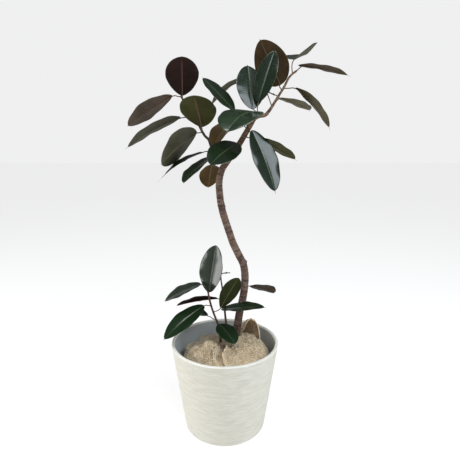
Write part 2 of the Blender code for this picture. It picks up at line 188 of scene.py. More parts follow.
# %% Leaf veins
leaf_veins, veins_in, veins_out = new_group(
    "leaf_veins", [("Count", 24.0), ("Slant", 3.2), ("Rib Width", 0.02)],
    ["Midrib", "Side Veins", "Margin", "Height"])
leaf_uv = add_node(leaf_veins, "SeparateXYZ", {0: add_node(leaf_veins, "TexCoord").outputs["UV"]})
offset = maths(leaf_veins, "SUBTRACT", leaf_uv.outputs["X"], 0.5)
across = maths(leaf_veins, "MULTIPLY", maths(leaf_veins, "ABSOLUTE", offset), 2.0)
slope = maths(leaf_veins, "MULTIPLY", across, veins_in["Slant"])
turns = maths(leaf_veins, "SUBTRACT",
              maths(leaf_veins, "MULTIPLY", leaf_uv.outputs["Y"], veins_in["Count"]), slope)
ripple = add_node(leaf_veins, "TexNoise", {"Vector": add_node(leaf_veins, "TexCoord").outputs["UV"],
                                           "Scale": 9.0, "Detail": 2.0})
turns = maths(leaf_veins, "ADD", turns, maths(leaf_veins, "MULTIPLY", ripple.outputs[0], 0.7))
wave = maths(leaf_veins, "ABSOLUTE", maths(leaf_veins, "SINE",
                                           maths(leaf_veins, "MULTIPLY", turns, math.pi)))
line = graded(leaf_veins, wave, 1.0, 0.0, 0.0, 0.35)
fading = graded(leaf_veins, across, 1.0, 0.0, 0.55, 1.0)
side_veins = maths(leaf_veins, "MULTIPLY", line, fading)
midrib = graded(leaf_veins, across, 1.0, 0.0, veins_in["Rib Width"],
                maths(leaf_veins, "MULTIPLY", veins_in["Rib Width"], 2.6))
leaf_veins.links.new(midrib, veins_out["Midrib"])
leaf_veins.links.new(side_veins, veins_out["Side Veins"])
leaf_veins.links.new(graded(leaf_veins, across, 0.0, 1.0, 0.965, 0.995), veins_out["Margin"])
leaf_veins.links.new(maths(leaf_veins, "SUBTRACT", wave, maths(leaf_veins, "MULTIPLY", midrib, 0.5)),
                     veins_out["Height"])

# %% [markdown]
# Burlap is a plain weave of thick, uneven jute threads. Each thread is a sine across its own
# direction; the product of the two sines says which one is on top. Slow noise makes thick and
# thin stretches, and where both threads are thin there is a hole, which the finish paints dark:
# partly the dark soil below, partly painted shade. `Shade` is low where a thread dips under the
# other and where a thread runs thin, and the finish darkens it there as painted shade, partly
# the slubs' random tone.

# %% Weave
weave, weave_in, weave_out = new_group(
    "weave", [("Vector", None), ("Threads", 420.0), ("Looseness", 0.3)],
    ["Holes", "Height", "Shade", "Streak"])
slub = add_node(weave, "TexNoise", {"Vector": weave_in["Vector"], "Scale": 130.0, "Detail": 3.0})
wander = add_node(weave, "TexNoise", {"Vector": weave_in["Vector"], "Scale": 55.0, "Detail": 2.0})
bent = add_node(weave, "VectorMath", {0: weave_in["Vector"],
                                      1: add_node(weave, "VectorMath", {0: wander.outputs["Color"],
                                                                        "Scale": 0.004},
                                                  operation="SCALE").outputs[0]}, operation="ADD")
threads = add_node(weave, "SeparateXYZ", {0: bent.outputs[0]})
sines = []
for axis in ("X", "Y"):
    angle = maths(weave, "MULTIPLY", maths(weave, "MULTIPLY", threads.outputs[axis],
                                           weave_in["Threads"]), math.pi)
    sines.append(maths(weave, "SINE", angle))
warp, weft = (maths(weave, "ABSOLUTE", sine) for sine in sines)
over = maths(weave, "MULTIPLY", sines[0], sines[1])
thick = maths(weave, "ADD", maths(weave, "MAXIMUM", warp, weft),
              maths(weave, "MULTIPLY", maths(weave, "SUBTRACT", slub.outputs[0], 0.5), 0.8))
gap_edge = maths(weave, "ADD", weave_in["Looseness"], 0.25)
weave.links.new(graded(weave, thick, 1.0, 0.0, weave_in["Looseness"], gap_edge), weave_out["Holes"])
weave.links.new(maths(weave, "MULTIPLY_ADD", over, 0.35, thick), weave_out["Height"])
# Shade: low where a thread dips under the other; the finish darkens there as painted shade, partly the
# slubs' random tone.
weave.links.new(maths(weave, "MULTIPLY_ADD", over, 0.3, slub.outputs[0]), weave_out["Shade"])
streaks = []
for along_thread, cross_thread in ((16.0, 300.0), (300.0, 16.0)):
    drawn = add_node(weave, "Mapping", {"Vector": bent.outputs[0],
                                        "Scale": (along_thread, cross_thread, 1.0)})
    streaks.append(add_node(weave, "TexNoise", {"Vector": drawn.outputs[0], "Scale": 1.0,
                                                "Detail": 2.0}).outputs[0])
weave.links.new(maths(weave, "MAXIMUM", *streaks), weave_out["Streak"])
print("groups:", [group.name for group in bpy.data.node_groups])

# %% [markdown]
# ## Leaf finishes
# The upper face of a rubber plant's leaf is a very dark green under a waxy skin, so it is a
# rough dark base with a glossy coat; the coat carries the pale reflections. The grey upper face
# is a paler, greyer copy of that base, which paints the waxy sheen into the colour as well. The
# lower face has no wax: it is matt, and its colour runs from olive to deep maroon with the
# leaf's age.

# %% Leaf upper face
def leaf_top(name, dark, light, rib):
    made, tree, shader = new_material(name, Roughness=0.5, Coat_Weight=1.0, Coat_Roughness=0.16,
                                      Coat_IOR=1.45, Specular_IOR_Level=0.15)
    veins = use_group(tree, leaf_veins, {"Rib Width": 0.022})
    place = add_node(tree, "TexCoord").outputs["Object"]
    patches = use_group(tree, mottle, {"Vector": place, "Scale": 22.0, "Contrast": 1.2})
    colour = blend(tree, patches["Mask"], dark, light)
    faint = maths(tree, "MULTIPLY", veins["Side Veins"], 0.35)
    colour = blend(tree, faint, colour, rgb(0.020, 0.062, 0.024))
    colour = blend(tree, maths(tree, "MULTIPLY", veins["Midrib"], 0.8), colour, rib)
    colour = blend(tree, maths(tree, "MULTIPLY", veins["Margin"], 0.6), colour, rgb(0.16, 0.19, 0.11))
    dust = use_group(tree, fine_dust, {"Amount": 0.025})
    colour = blend(tree, dust["Mask"], colour, rgb(0.20, 0.22, 0.20))
    tree.links.new(colour, shader["Base Color"])
    tree.links.new(bump(tree, veins["Height"], 0.60, 0.5 * MM), shader["Normal"])
    return made


TOP_RIB = rgb(0.055, 0.085, 0.032)
LEAF_TOPS = {
    "deep": leaf_top("leaf_top_deep", rgb(0.0009, 0.0062, 0.0009), rgb(0.0020, 0.0120, 0.0016), TOP_RIB),
    "bright": leaf_top("leaf_top_bright", rgb(0.0012, 0.0120, 0.0011), rgb(0.0028, 0.0220, 0.0020),
                       TOP_RIB),
    # A paler, greyer copy of the dark waxy face: painted sheen in the base colour, over what the coat
    # mirrors.
    "grey": leaf_top("leaf_top_grey_painted_sheen", rgb(0.0120, 0.0200, 0.0120), rgb(0.0220, 0.0340, 0.0190),
                     rgb(0.10, 0.12, 0.07)),
}
print("upper faces:", list(LEAF_TOPS))


# %% Leaf lower face
def leaf_under(name, dark, light, rib):
    made, tree, shader = new_material(name, Roughness=0.6, Specular_IOR_Level=0.12)
    veins = use_group(tree, leaf_veins, {"Rib Width": 0.030})
    place = add_node(tree, "TexCoord").outputs["Object"]
    patches = use_group(tree, mottle, {"Vector": place, "Scale": 26.0, "Contrast": 1.3})
    colour = blend(tree, patches["Mask"], dark, light)
    colour = blend(tree, maths(tree, "MULTIPLY", veins["Side Veins"], 0.30), colour, rib)
    colour = blend(tree, maths(tree, "MULTIPLY", veins["Midrib"], 0.9), colour, rib)
    colour = blend(tree, maths(tree, "MULTIPLY", veins["Margin"], 0.4), colour, rgb(0.12, 0.13, 0.07))
    tree.links.new(colour, shader["Base Color"])
    tree.links.new(bump(tree, veins["Height"], 0.3, 0.5 * MM), shader["Normal"])
    return made


LEAF_UNDERS = {
    "maroon": leaf_under("leaf_under_maroon", rgb(0.012, 0.0045, 0.0032), rgb(0.020, 0.0075, 0.005),
                         rgb(0.055, 0.010, 0.009)),
    "brown": leaf_under("leaf_under_brown", rgb(0.024, 0.014, 0.0045), rgb(0.045, 0.027, 0.009),
                        rgb(0.080, 0.045, 0.020)),
    "rust": leaf_under("leaf_under_rust", rgb(0.045, 0.026, 0.0035), rgb(0.080, 0.045, 0.007),
                       rgb(0.11, 0.055, 0.015)),
    "taupe": leaf_under("leaf_under_taupe", rgb(0.070, 0.052, 0.036), rgb(0.120, 0.090, 0.064),
                        rgb(0.15, 0.115, 0.08)),
    "olive": leaf_under("leaf_under_olive", rgb(0.024, 0.026, 0.004), rgb(0.045, 0.045, 0.008),
                        rgb(0.075, 0.045, 0.018)),
    "grey": leaf_under("leaf_under_grey", rgb(0.052, 0.052, 0.030), rgb(0.090, 0.086, 0.055),
                       rgb(0.13, 0.115, 0.075)),
    "umber": leaf_under("leaf_under_umber", rgb(0.042, 0.028, 0.014), rgb(0.075, 0.050, 0.027),
                        rgb(0.10, 0.065, 0.035)),
    "moss": leaf_under("leaf_under_moss", rgb(0.018, 0.023, 0.006), rgb(0.034, 0.042, 0.012),
                       rgb(0.065, 0.060, 0.028)),
    "tan": leaf_under("leaf_under_tan", rgb(0.060, 0.055, 0.026), rgb(0.105, 0.092, 0.050),
                      rgb(0.15, 0.12, 0.07)),
}
print("lower faces:", list(LEAF_UNDERS))

# %% [markdown]
# Stalks and the cut edge of a leaf have a plain, slightly mottled skin. The same maker serves
# for both, and later for the hems of the burlap.

# %% Stalk and leaf margin
def plain_skin(name, dark, light, roughness):
    made, tree, shader = new_material(name, Roughness=roughness, Specular_IOR_Level=0.4)
    place = add_node(tree, "TexCoord").outputs["Object"]
    patches = use_group(tree, mottle, {"Vector": place, "Scale": 90.0, "Contrast": 1.0})
    tree.links.new(blend(tree, patches["Mask"], dark, light), shader["Base Color"])
    tree.links.new(bump(tree, patches["Mask"], 0.3, 0.3 * MM), shader["Normal"])
    return made


STALKS = {
    "red": plain_skin("stalk_red", rgb(0.085, 0.030, 0.018), rgb(0.14, 0.055, 0.03), 0.45),
    "dark": plain_skin("stalk_dark", rgb(0.028, 0.020, 0.012), rgb(0.060, 0.040, 0.022), 0.5),
    "olive": plain_skin("stalk_olive", rgb(0.050, 0.050, 0.018), rgb(0.095, 0.085, 0.034), 0.45),
}
margin_skin = plain_skin("leaf_margin", rgb(0.07, 0.085, 0.045), rgb(0.13, 0.145, 0.08), 0.4)
print("stalks:", list(STALKS))

# %% [markdown]
# ## Reading the CAD back
# A CAD leaf is a row of eight-cornered rings that ends in one point, and a CAD stem is a row of
# rings between two flat ends. Starting at the point or at an end and stepping along the edges
# collects the rings one after another, whatever order the file keeps its corners in.

# %% Walking rings
MERGE = 0.001 * MM
LEAF_CORNERS = 8
STALK_RINGS = 3


def welded(node_name):
    """The CAD node as a mesh whose coincident corners are joined."""
    bm = bmesh.new()
    bm.from_mesh(NODES[node_name].data)
    bmesh.ops.remove_doubles(bm, verts=bm.verts, dist=MERGE)
    return bm


def walk_rings(first, seen, size):
    """Layers of corners, each one edge further on, as long as they keep their size."""
    layers = []
    layer = first
    while len(layer) == size:
        layers.append(np.array([corner.co[:] for corner in layer]))
        seen = seen | set(layer)
        layer = {edge.other_vert(corner) for corner in layer for edge in corner.link_edges} - seen
    return layers


def leaf_rings(node_name):
    """(tip, rings from the tip back to the stalk's foot) of a CAD leaf."""
    bm = welded(node_name)
    best = (None, [])
    for corner in bm.verts:
        if len(corner.link_edges) == LEAF_CORNERS:
            ring = {edge.other_vert(corner) for edge in corner.link_edges}
            rings = walk_rings(ring, {corner}, LEAF_CORNERS)
            if len(rings) > len(best[1]):
                best = (np.array(corner.co[:]), rings)
    bm.free()
    return best


# %% [markdown]
# A blade ring is flat and wide. Its two far corners are the blade's edges, the two nearest to
# the middle are the midrib, and the edges are raised a little towards the upper face. That is
# enough to know the place, the width, the way up and the fold of the leaf at that ring.

# %% Blade stations
def ring_frame(ring):
    """(midrib, half-width vector, raise of the edges) of one blade ring."""
    gaps = np.linalg.norm(ring[:, None] - ring[None], axis=2)
    first, second = np.unravel_index(gaps.argmax(), gaps.shape)
    middle = (ring[first] + ring[second]) / 2
    half = (ring[first] - ring[second]) / 2
    others = np.delete(ring, [first, second], axis=0)
    off_centre = np.abs((others - middle) @ half)
    rib = others[off_centre.argsort()[:2]].mean(axis=0)
    return rib, half, middle - rib


def leaf_plan(node_name):
    """Stalk centres from the foot up, then blade centres, half widths, ups and folds."""
    tip, rings = leaf_rings(node_name)
    blade = [ring_frame(ring) for ring in rings[:-STALK_RINGS - 1][::-1]]
    stalk = [ring.mean(axis=0) for ring in rings[-STALK_RINGS - 1:][::-1]]
    centres = np.array([stalk[-1], *[rib for rib, _, _ in blade], tip])
    halves = np.array([half for _, half, _ in blade])
    raises = np.array([lift for _, _, lift in blade])
    widest = np.linalg.norm(halves, axis=1).argmax()
    tangent = centres[widest + 2] - centres[widest]
    if np.cross(tangent, halves[widest]) @ raises[widest] < 0:
        halves = -halves
    for index in range(len(halves)):
        if halves[index] @ halves[widest] < 0:
            halves[index] = -halves[index]
    fold = np.linalg.norm(raises[widest]) / np.linalg.norm(halves[widest])
    return np.array(stalk), centres, halves, fold


print("widest leaf ring:", max(np.linalg.norm(leaf_plan(name)[2], axis=1).max() * 2
                                for name in LEAF_NAMES), "m")


# %% Curves through points
def lengths(points):
    """Distance along a row of points, from 0."""
    return np.concatenate([[0.0], np.cumsum(np.linalg.norm(np.diff(points, axis=0), axis=1))])


def smooth(knots, values, wanted):
    """Cubic curve through the values at the knots, read at the wanted places."""
    slopes = np.empty_like(values)
    slopes[1:-1] = (values[2:] - values[:-2]) / (knots[2:] - knots[:-2])[:, None]
    slopes[0] = (values[1] - values[0]) / (knots[1] - knots[0])
    slopes[-1] = (values[-1] - values[-2]) / (knots[-1] - knots[-2])
    index = np.clip(np.searchsorted(knots, wanted) - 1, 0, len(knots) - 2)
    span = (knots[index + 1] - knots[index])[:, None]
    t = ((wanted - knots[index])[:, None]) / span
    start, end = values[index], values[index + 1]
    return ((1 + 2 * t) * (1 - t) ** 2 * start + t * (1 - t) ** 2 * span * slopes[index]
            + t * t * (3 - 2 * t) * end + t * t * (t - 1) * span * slopes[index + 1])


def unit(vectors):
    return vectors / np.maximum(np.linalg.norm(vectors, axis=-1, keepdims=True), 1e-12)


# %% [markdown]
# The stems are read first, because every leaf starts on one. Near the fork the CAD has no clean
# rings, so the trunk's line is carried across the fork as one smooth curve, and the side branch
# starts at the point of it that is nearest.

# %% Stem lines
SHARP = 1.0                         # radians; only the edges of a stem's cut ends are this sharp
RING_STEP = 1.4 * MM


def end_ring(corner):
    """The corners round the cut end that this corner belongs to."""
    ring = {corner}
    grown = True
    while grown:
        sharp = {edge.other_vert(known) for known in ring for edge in known.link_edges
                 if edge.calc_face_angle(0.0) > SHARP}
        grown = not sharp <= ring
        ring |= sharp
    return ring


def stem_line(corner):
    """(centres, radii) of the rings from a cut end onwards."""
    ring = end_ring(corner)
    rings = walk_rings(ring, set(), len(ring))
    centres = np.array([layer.mean(axis=0) for layer in rings])
    radii = np.array([np.linalg.norm(layer - layer.mean(axis=0), axis=1).mean() for layer in rings])
    return centres, radii


def dense(centres, radii):
    """The same line with a point at every ring step."""
    knots = lengths(centres)
    along = np.linspace(0, knots[-1], int(knots[-1] / RING_STEP))
    return smooth(knots, centres, along), np.interp(along, knots, radii)


# %% Read the four stems
stem_mesh = welded("stem")
low_line, low_radii = stem_line(min(stem_mesh.verts, key=lambda corner: corner.co.z))
high_line, high_radii = stem_line(max(stem_mesh.verts, key=lambda corner: corner.co.z))
branch_line, branch_radii = stem_line(min(stem_mesh.verts, key=lambda corner: corner.co.x))
stem_mesh.free()
STEMS = {"trunk": dense(np.vstack([low_line, high_line[::-1]]),
                        np.concatenate([low_radii, high_radii[::-1]]))}
fork = STEMS["trunk"][0][np.linalg.norm(STEMS["trunk"][0] - branch_line[-1], axis=1).argmin()]
collar = np.concatenate([[branch_radii[-1] * 1.7], branch_radii[::-1]])
collar[1] *= 1.25
STEMS["branch"] = dense(np.vstack([fork, branch_line[::-1]]), collar)
for shoot_name in ("left_shoot", "right_shoot"):
    shoot_mesh = welded(shoot_name)
    STEMS[shoot_name] = dense(*stem_line(min(shoot_mesh.verts, key=lambda corner: corner.co.z)))
    shoot_mesh.free()
STEM_POINTS = np.vstack([line for line, _ in STEMS.values()])
print({name: len(line) for name, (line, _) in STEMS.items()})


def nearest_stem_point(point):
    return STEM_POINTS[np.linalg.norm(STEM_POINTS - point, axis=1).argmin()]


# %% [markdown]
# ## Skins and tubes
# Two mesh tools make every grown piece. `skin` joins neighbouring rows of corners with quads
# and gives each corner its place in the texture. `tube` sweeps rings of corners along a line
# and keeps them from twisting, by carrying the first ring's direction from point to point.

# %% Mesh tools
def skin(bm, rows, uv_at, closed=False, finish=0, flip=False):
    """Smooth quads between rows of corners; uv_at(row, column) is a corner's texture place."""
    uv = bm.loops.layers.uv.verify()
    columns = len(rows[0])
    for i in range(len(rows) - 1):
        for j in range(columns if closed else columns - 1):
            k = (j + 1) % columns
            corners = [(rows[i][j], i, j), (rows[i][k], i, j + 1),
                       (rows[i + 1][k], i + 1, j + 1), (rows[i + 1][j], i + 1, j)]
            if flip:
                corners.reverse()
            face = bm.faces.new([corner for corner, _, _ in corners])
            face.material_index = finish
            face.smooth = True
            for loop, (_, row, column) in zip(face.loops, corners):
                loop[uv].uv = uv_at(row, column)


def place_rows(bm, points):
    """New corners for an array of points, row by row."""
    return [[bm.verts.new(point) for point in row] for row in points]


def carried_frames(line):
    """Two directions square to a line at each point, carried along it without twist."""
    tangents = unit(np.gradient(line, axis=0))
    side = unit(np.cross(tangents[0], (0.0, 1.0, 0.3)))
    sides = []
    for tangent in tangents:
        side = unit(side - (side @ tangent) * tangent)
        sides.append(side)
    sides = np.array(sides)
    return sides, np.cross(tangents, sides)


def tube(bm, line, radii, sides, finish=0):
    """A closed tube; radii is one number a point, or one for each point and side."""
    first, second = carried_frames(line)
    turn = np.arange(sides) * math.tau / sides
    radii = np.asarray(radii, dtype=float)
    if radii.ndim < 2:
        radii = radii.reshape(-1, 1)
    radii = np.broadcast_to(radii, (len(line), sides))
    out = first[:, None] * np.cos(turn)[None, :, None] + second[:, None] * np.sin(turn)[None, :, None]
    rows = place_rows(bm, line[:, None] + out * radii[:, :, None])
    along = lengths(line)
    skin(bm, rows, lambda i, j: (j / sides, along[i]), closed=True, finish=finish)
    for ring, flip in ((rows[0], True), (rows[-1], False)):
        cap = bm.faces.new(ring[::-1] if flip else ring)
        cap.material_index = finish


def finished(bm, name, materials, replaces):
    """Turns a bmesh into a piece that rides on the plant's body and stands for CAD nodes."""
    mesh = bpy.data.meshes.new(name)
    bm.to_mesh(mesh)
    bm.free()
    piece = bpy.data.objects.new(name, mesh)
    bpy.context.scene.collection.objects.link(piece)
    for finish in materials:
        mesh.materials.append(finish)
    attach(piece, BODY)
    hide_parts(*replaces)
    return piece


# %% [markdown]
# ## Growing the leaves
# The blade is a grid with its columns crowded round the midrib, where the surface bends most.
# Its outline is a blunt oval that runs out into a short drip tip. The cross-section folds up
# from the midrib, crowns a little on each half, ripples at the margin and rises and falls over
# the side veins. A second grid just below makes the lower face, and a narrow strip the margin.

# %% Leaf shape
LEAF_ROWS = 92
HALF_COLUMNS = np.array([0.0, 0.03, 0.07, 0.15, 0.27, 0.41, 0.56, 0.71, 0.84, 0.94, 1.0])
COLUMNS = np.concatenate([-HALF_COLUMNS[:0:-1], HALF_COLUMNS])
OVAL_POWER = 0.56
DRIP_HALF = 1.1 * MM
BLADE_THICK = 0.55 * MM
GROOVE_DEPTH = 0.55 * MM
GROOVE_HALF = 1.1 * MM
VEIN_SPACING = 6.0 * MM
VEIN_RELIEF = 0.28 * MM
VEIN_SLANT = 3.2
EDGE_RIPPLE = 1.1 * MM
CROWN_SHARE = 0.09                  # how far each half swells, over its own width
STALK_HALF = 1.35 * MM
RIB_END_HALF = 0.35 * MM
STALK_SIDES = 12


def half_widths(share, widest, body_end, skew):
    """Half width of the blade at each share of its length; skew above 1 is wider at the tip."""
    inside = np.clip(share / body_end, 0, 1) ** skew
    oval = widest * np.sin(math.pi * inside) ** OVAL_POWER
    drip = DRIP_HALF * np.clip((1 - share) / (1 - body_end), 0, 1) ** 0.5
    return np.maximum(np.sqrt(oval ** 2 + drip ** 2), 0.12 * MM)


# %% [markdown]
# No two leaves are quite alike. This table gives what is special about some of them: `wide`
# scales the width and `long` the length, `turn` twists the blade about its midrib in degrees,
# `back` starts the blade further back towards the stalk, `body` is where the oval ends and the
# drip tip begins, `skew` moves the widest place, and `shift` moves the whole blade in metres.

# %% What is special about each leaf
PLAIN_LEAF = {"wide": 1.0, "turn": 0.0, "back": 0.0, "body": 0.972, "skew": 1.0, "long": 1.0,
              "shift": (0.0, 0.0, 0.0)}
SPECIAL = {
    "crown_leaf_01": {"body": 0.995, "skew": 1.1},
    "crown_leaf_02": {"wide": 1.22, "skew": 1.15},
    "crown_leaf_03": {"wide": 1.08, "body": 0.94, "back": 0.04},
    "crown_leaf_04": {"body": 0.99, "skew": 1.08},
    "crown_leaf_05": {"wide": 1.45, "skew": 1.15, "shift": (-0.005, 0.0, 0.002)},
    "crown_leaf_06": {"turn": -11, "body": 0.8, "long": 1.04},
    "crown_leaf_07": {"wide": 1.05},
    "crown_leaf_08": {"wide": 1.06},
    "crown_leaf_10": {"wide": 1.3, "body": 0.95},
    "crown_leaf_11": {"wide": 1.05},
    "crown_leaf_13": {"wide": 0.9, "shift": (-0.009, 0.0, 0.0)},
    "crown_leaf_14": {"wide": 1.16, "body": 0.93, "shift": (0.0, 0.0, -0.003), "long": 1.04},
    "crown_leaf_15": {"body": 0.885, "wide": 1.02},
    "crown_leaf_16": {"wide": 1.08, "skew": 0.84, "shift": (0.004, 0.0, -0.002)},
    "crown_leaf_17": {"wide": 1.22, "body": 0.995, "skew": 1.15, "long": 0.9},
    "crown_leaf_18": {"wide": 1.02, "turn": -7, "body": 0.93, "back": 0.1},
    "crown_leaf_19": {"wide": 1.25, "body": 0.93, "back": 0.03},
    "crown_leaf_20": {"wide": 1.2, "body": 0.93, "shift": (-0.003, 0.0, 0.0)},
    "crown_leaf_22": {"back": 0.12, "wide": 1.14, "body": 0.955},
    "crown_leaf_23": {"wide": 1.1, "turn": -10, "body": 0.93},
    "basal_leaf_01": {"back": 0.05, "wide": 1.04, "body": 0.99, "long": 1.02},
    "basal_leaf_02": {"wide": 1.3, "body": 0.96},
    "basal_leaf_03": {"wide": 1.35, "long": 1.05},
    "basal_leaf_04": {"body": 0.96, "skew": 0.95, "long": 1.02},
    "basal_leaf_05": {"wide": 1.25, "long": 1.06},
    "basal_leaf_06": {"skew": 1.25, "wide": 1.1, "body": 0.99},
    "basal_leaf_07": {"back": 0.22, "wide": 1.06, "skew": 0.85, "body": 0.95, "long": 1.03},
    "basal_leaf_08": {"turn": -24, "wide": 1.25, "body": 0.95},
    "basal_leaf_09": {"body": 0.97, "skew": 0.95, "wide": 1.04},
}


# %% Blade surface
def blade_points(plan, rng, special):
    """Upper and lower faces of a blade as grids, with its middle line and ups."""
    _, centres, halves, fold = plan
    centres = centres + np.array(special["shift"])
    centres[0] -= unit(centres[3] - centres[0]) * special["back"] * lengths(centres)[-1]
    knots = lengths(centres)
    length = knots[-1] * special["long"]
    share = 1 - (1 - np.linspace(0, 1, LEAF_ROWS)) ** 1.15
    middle = smooth(knots, centres, np.minimum(share * length, knots[-1]))
    beyond = np.maximum(share * length - knots[-1], 0.0)[:, None]
    middle = middle + beyond * unit(centres[-1] - centres[-2])
    sideways = unit(halves)
    sideways = smooth(knots, np.vstack([sideways[:1], sideways, sideways[-1:]]),
                      np.minimum(share * length, knots[-1]))
    tangent = unit(np.gradient(middle, axis=0))
    sideways = unit(sideways - (sideways * tangent).sum(axis=1, keepdims=True) * tangent)
    up = np.cross(tangent, sideways)
    turn = math.radians(special["turn"])
    sideways, up = (sideways * math.cos(turn) + up * math.sin(turn),
                    up * math.cos(turn) - sideways * math.sin(turn))
    widest = np.linalg.norm(halves, axis=1).max() * special["wide"]
    half = half_widths(share, widest, special["body"], special["skew"])[:, None]
    out = np.abs(COLUMNS)[None]
    side = np.sign(COLUMNS)[None]
    phase = rng.uniform(0, math.tau, 3)
    ripple = np.sin(share[:, None] * 11.0 + side * 1.7 + phase[0]) \
        + 0.6 * np.sin(share[:, None] * 23.0 - side * 2.3 + phase[1])
    veins = np.cos(math.tau * (share[:, None] * length / VEIN_SPACING - VEIN_SLANT * out))
    body = np.clip(half / widest, 0, 1)
    lift = fold * half * out ** 0.92 + CROWN_SHARE * half * out * (1 - out)
    lift = lift + EDGE_RIPPLE * ripple * out ** 3 * body
    lift = lift + VEIN_RELIEF * veins * 4 * out * (1 - out) * body
    lift = lift - GROOVE_DEPTH * np.exp(-(out * half / GROOVE_HALF) ** 2) * body
    flat = middle[:, None] + sideways[:, None] * (COLUMNS[None] * half)[:, :, None]
    thick = BLADE_THICK * (1 - 0.6 * out ** 4) * np.clip(body + 0.3, 0, 1)
    upper = flat + up[:, None] * (lift + thick / 2)[:, :, None]
    lower = flat + up[:, None] * (lift - thick / 2)[:, :, None]
    return share, middle, up, upper, lower


# %% One whole leaf
def grow_leaf(name, top, under, stalk_skin):
    """A leaf with both faces, its margin, its stalk and the raised midrib underneath."""
    rng = np.random.default_rng(sum(map(ord, name)))
    plan = leaf_plan(name)
    share, middle, up, upper, lower = blade_points(plan, rng, {**PLAIN_LEAF, **SPECIAL.get(name, {})})
    bm = bmesh.new()
    tops = place_rows(bm, upper)
    unders = place_rows(bm, lower)

    def uv_at(row, column):
        return (COLUMNS[column] / 2 + 0.5, share[row])

    skin(bm, tops, uv_at, finish=0, flip=False)
    skin(bm, unders, uv_at, finish=1, flip=True)
    last = len(COLUMNS) - 1
    border = [(row, 0) for row in range(LEAF_ROWS - 1, 0, -1)] + [(0, column) for column in range(last)]
    border += [(row, last) for row in range(LEAF_ROWS - 1)]
    border += [(LEAF_ROWS - 1, column) for column in range(last, 0, -1)]
    border.append(border[0])
    skin(bm, [[tops[i][j] for i, j in border], [unders[i][j] for i, j in border]],
         lambda i, j: uv_at(*border[j]), finish=2)

    stalk = plan[0]
    foot = nearest_stem_point(stalk[0])
    rib_rows = np.arange(2, int(LEAF_ROWS * 0.9), 4)
    sunk = np.interp(share[rib_rows], (0.0, 1.0), (1.3, 0.5))[:, None] * MM
    rib = middle[rib_rows] - up[rib_rows] * sunk
    line = np.vstack([foot, stalk[1:-1], rib])
    knots = lengths(line)
    steps = np.linspace(0, knots[-1], 56)
    stalk_end = knots[len(stalk)]
    radii = np.where(steps < stalk_end, STALK_HALF, STALK_HALF + (RIB_END_HALF - STALK_HALF)
                     * (steps - stalk_end) / (knots[-1] - stalk_end))
    radii = radii + 0.7 * MM * np.exp(-(steps / (3.0 * MM)) ** 2)
    tube(bm, smooth(knots, line, steps), radii, STALK_SIDES, finish=3)
    bmesh.ops.recalc_face_normals(bm, faces=bm.faces)
    return finished(bm, name + "_grown", [top, under, margin_skin, stalk_skin], [name])


# %% [markdown]
# Which face finishes a leaf gets depends on its age and on the light that it gets, so the
# finishes are listed by leaf: the upper face, the lower face and the stalk.

# %% Grow them all
FINISHES = {
    "crown_leaf_01": ("deep", "maroon", "red"),
    "crown_leaf_02": ("grey", "taupe", "red"),
    "crown_leaf_03": ("deep", "grey", "dark"),
    "crown_leaf_04": ("deep", "olive", "red"),
    "crown_leaf_05": ("deep", "grey", "dark"),
    "crown_leaf_06": ("deep", "brown", "dark"),
    "crown_leaf_07": ("deep", "olive", "dark"),
    "crown_leaf_08": ("deep", "rust", "red"),
    "crown_leaf_09": ("deep", "olive", "dark"),
    "crown_leaf_10": ("deep", "rust", "dark"),
    "crown_leaf_11": ("deep", "olive", "dark"),
    "crown_leaf_12": ("deep", "grey", "dark"),
    "crown_leaf_13": ("deep", "olive", "dark"),
    "crown_leaf_14": ("bright", "olive", "dark"),
    "crown_leaf_15": ("deep", "olive", "olive"),
    "crown_leaf_16": ("deep", "brown", "dark"),
    "crown_leaf_17": ("grey", "grey", "red"),
    "crown_leaf_18": ("deep", "umber", "dark"),
    "crown_leaf_19": ("deep", "tan", "dark"),
    "crown_leaf_20": ("deep", "tan", "olive"),
    "crown_leaf_21": ("deep", "brown", "dark"),
    "crown_leaf_22": ("deep", "olive", "dark"),
    "crown_leaf_23": ("deep", "olive", "dark"),
    "basal_leaf_01": ("grey", "olive", "red"),
    "basal_leaf_02": ("grey", "grey", "dark"),
    "basal_leaf_03": ("deep", "maroon", "dark"),
    "basal_leaf_04": ("bright", "olive", "olive"),
    "basal_leaf_05": ("deep", "olive", "olive"),
    "basal_leaf_06": ("deep", "moss", "olive"),
    "basal_leaf_07": ("bright", "maroon", "dark"),
    "basal_leaf_08": ("deep", "brown", "dark"),
    "basal_leaf_09": ("bright", "olive", "olive"),
    "basal_leaf_10": ("deep", "brown", "dark"),
}
for leaf_name in LEAF_NAMES:
    top_kind, under_kind, stalk_kind = FINISHES[leaf_name]
    grow_leaf(leaf_name, LEAF_TOPS[top_kind], LEAF_UNDERS[under_kind], STALKS[stalk_kind])
print("grew", len(LEAF_NAMES), "leaves")

# %% [markdown]
# ## Bark
# Old wood is grey-brown with fine rings, where each ring is the scar of a leaf's sheath, and
# paler rubbed patches. It turns tan and then green-brown towards the tips. The colour follows
# the height above the floor, and the texture's V is the distance along the stem, so a ring is
# a line of equal V bent a little by noise.

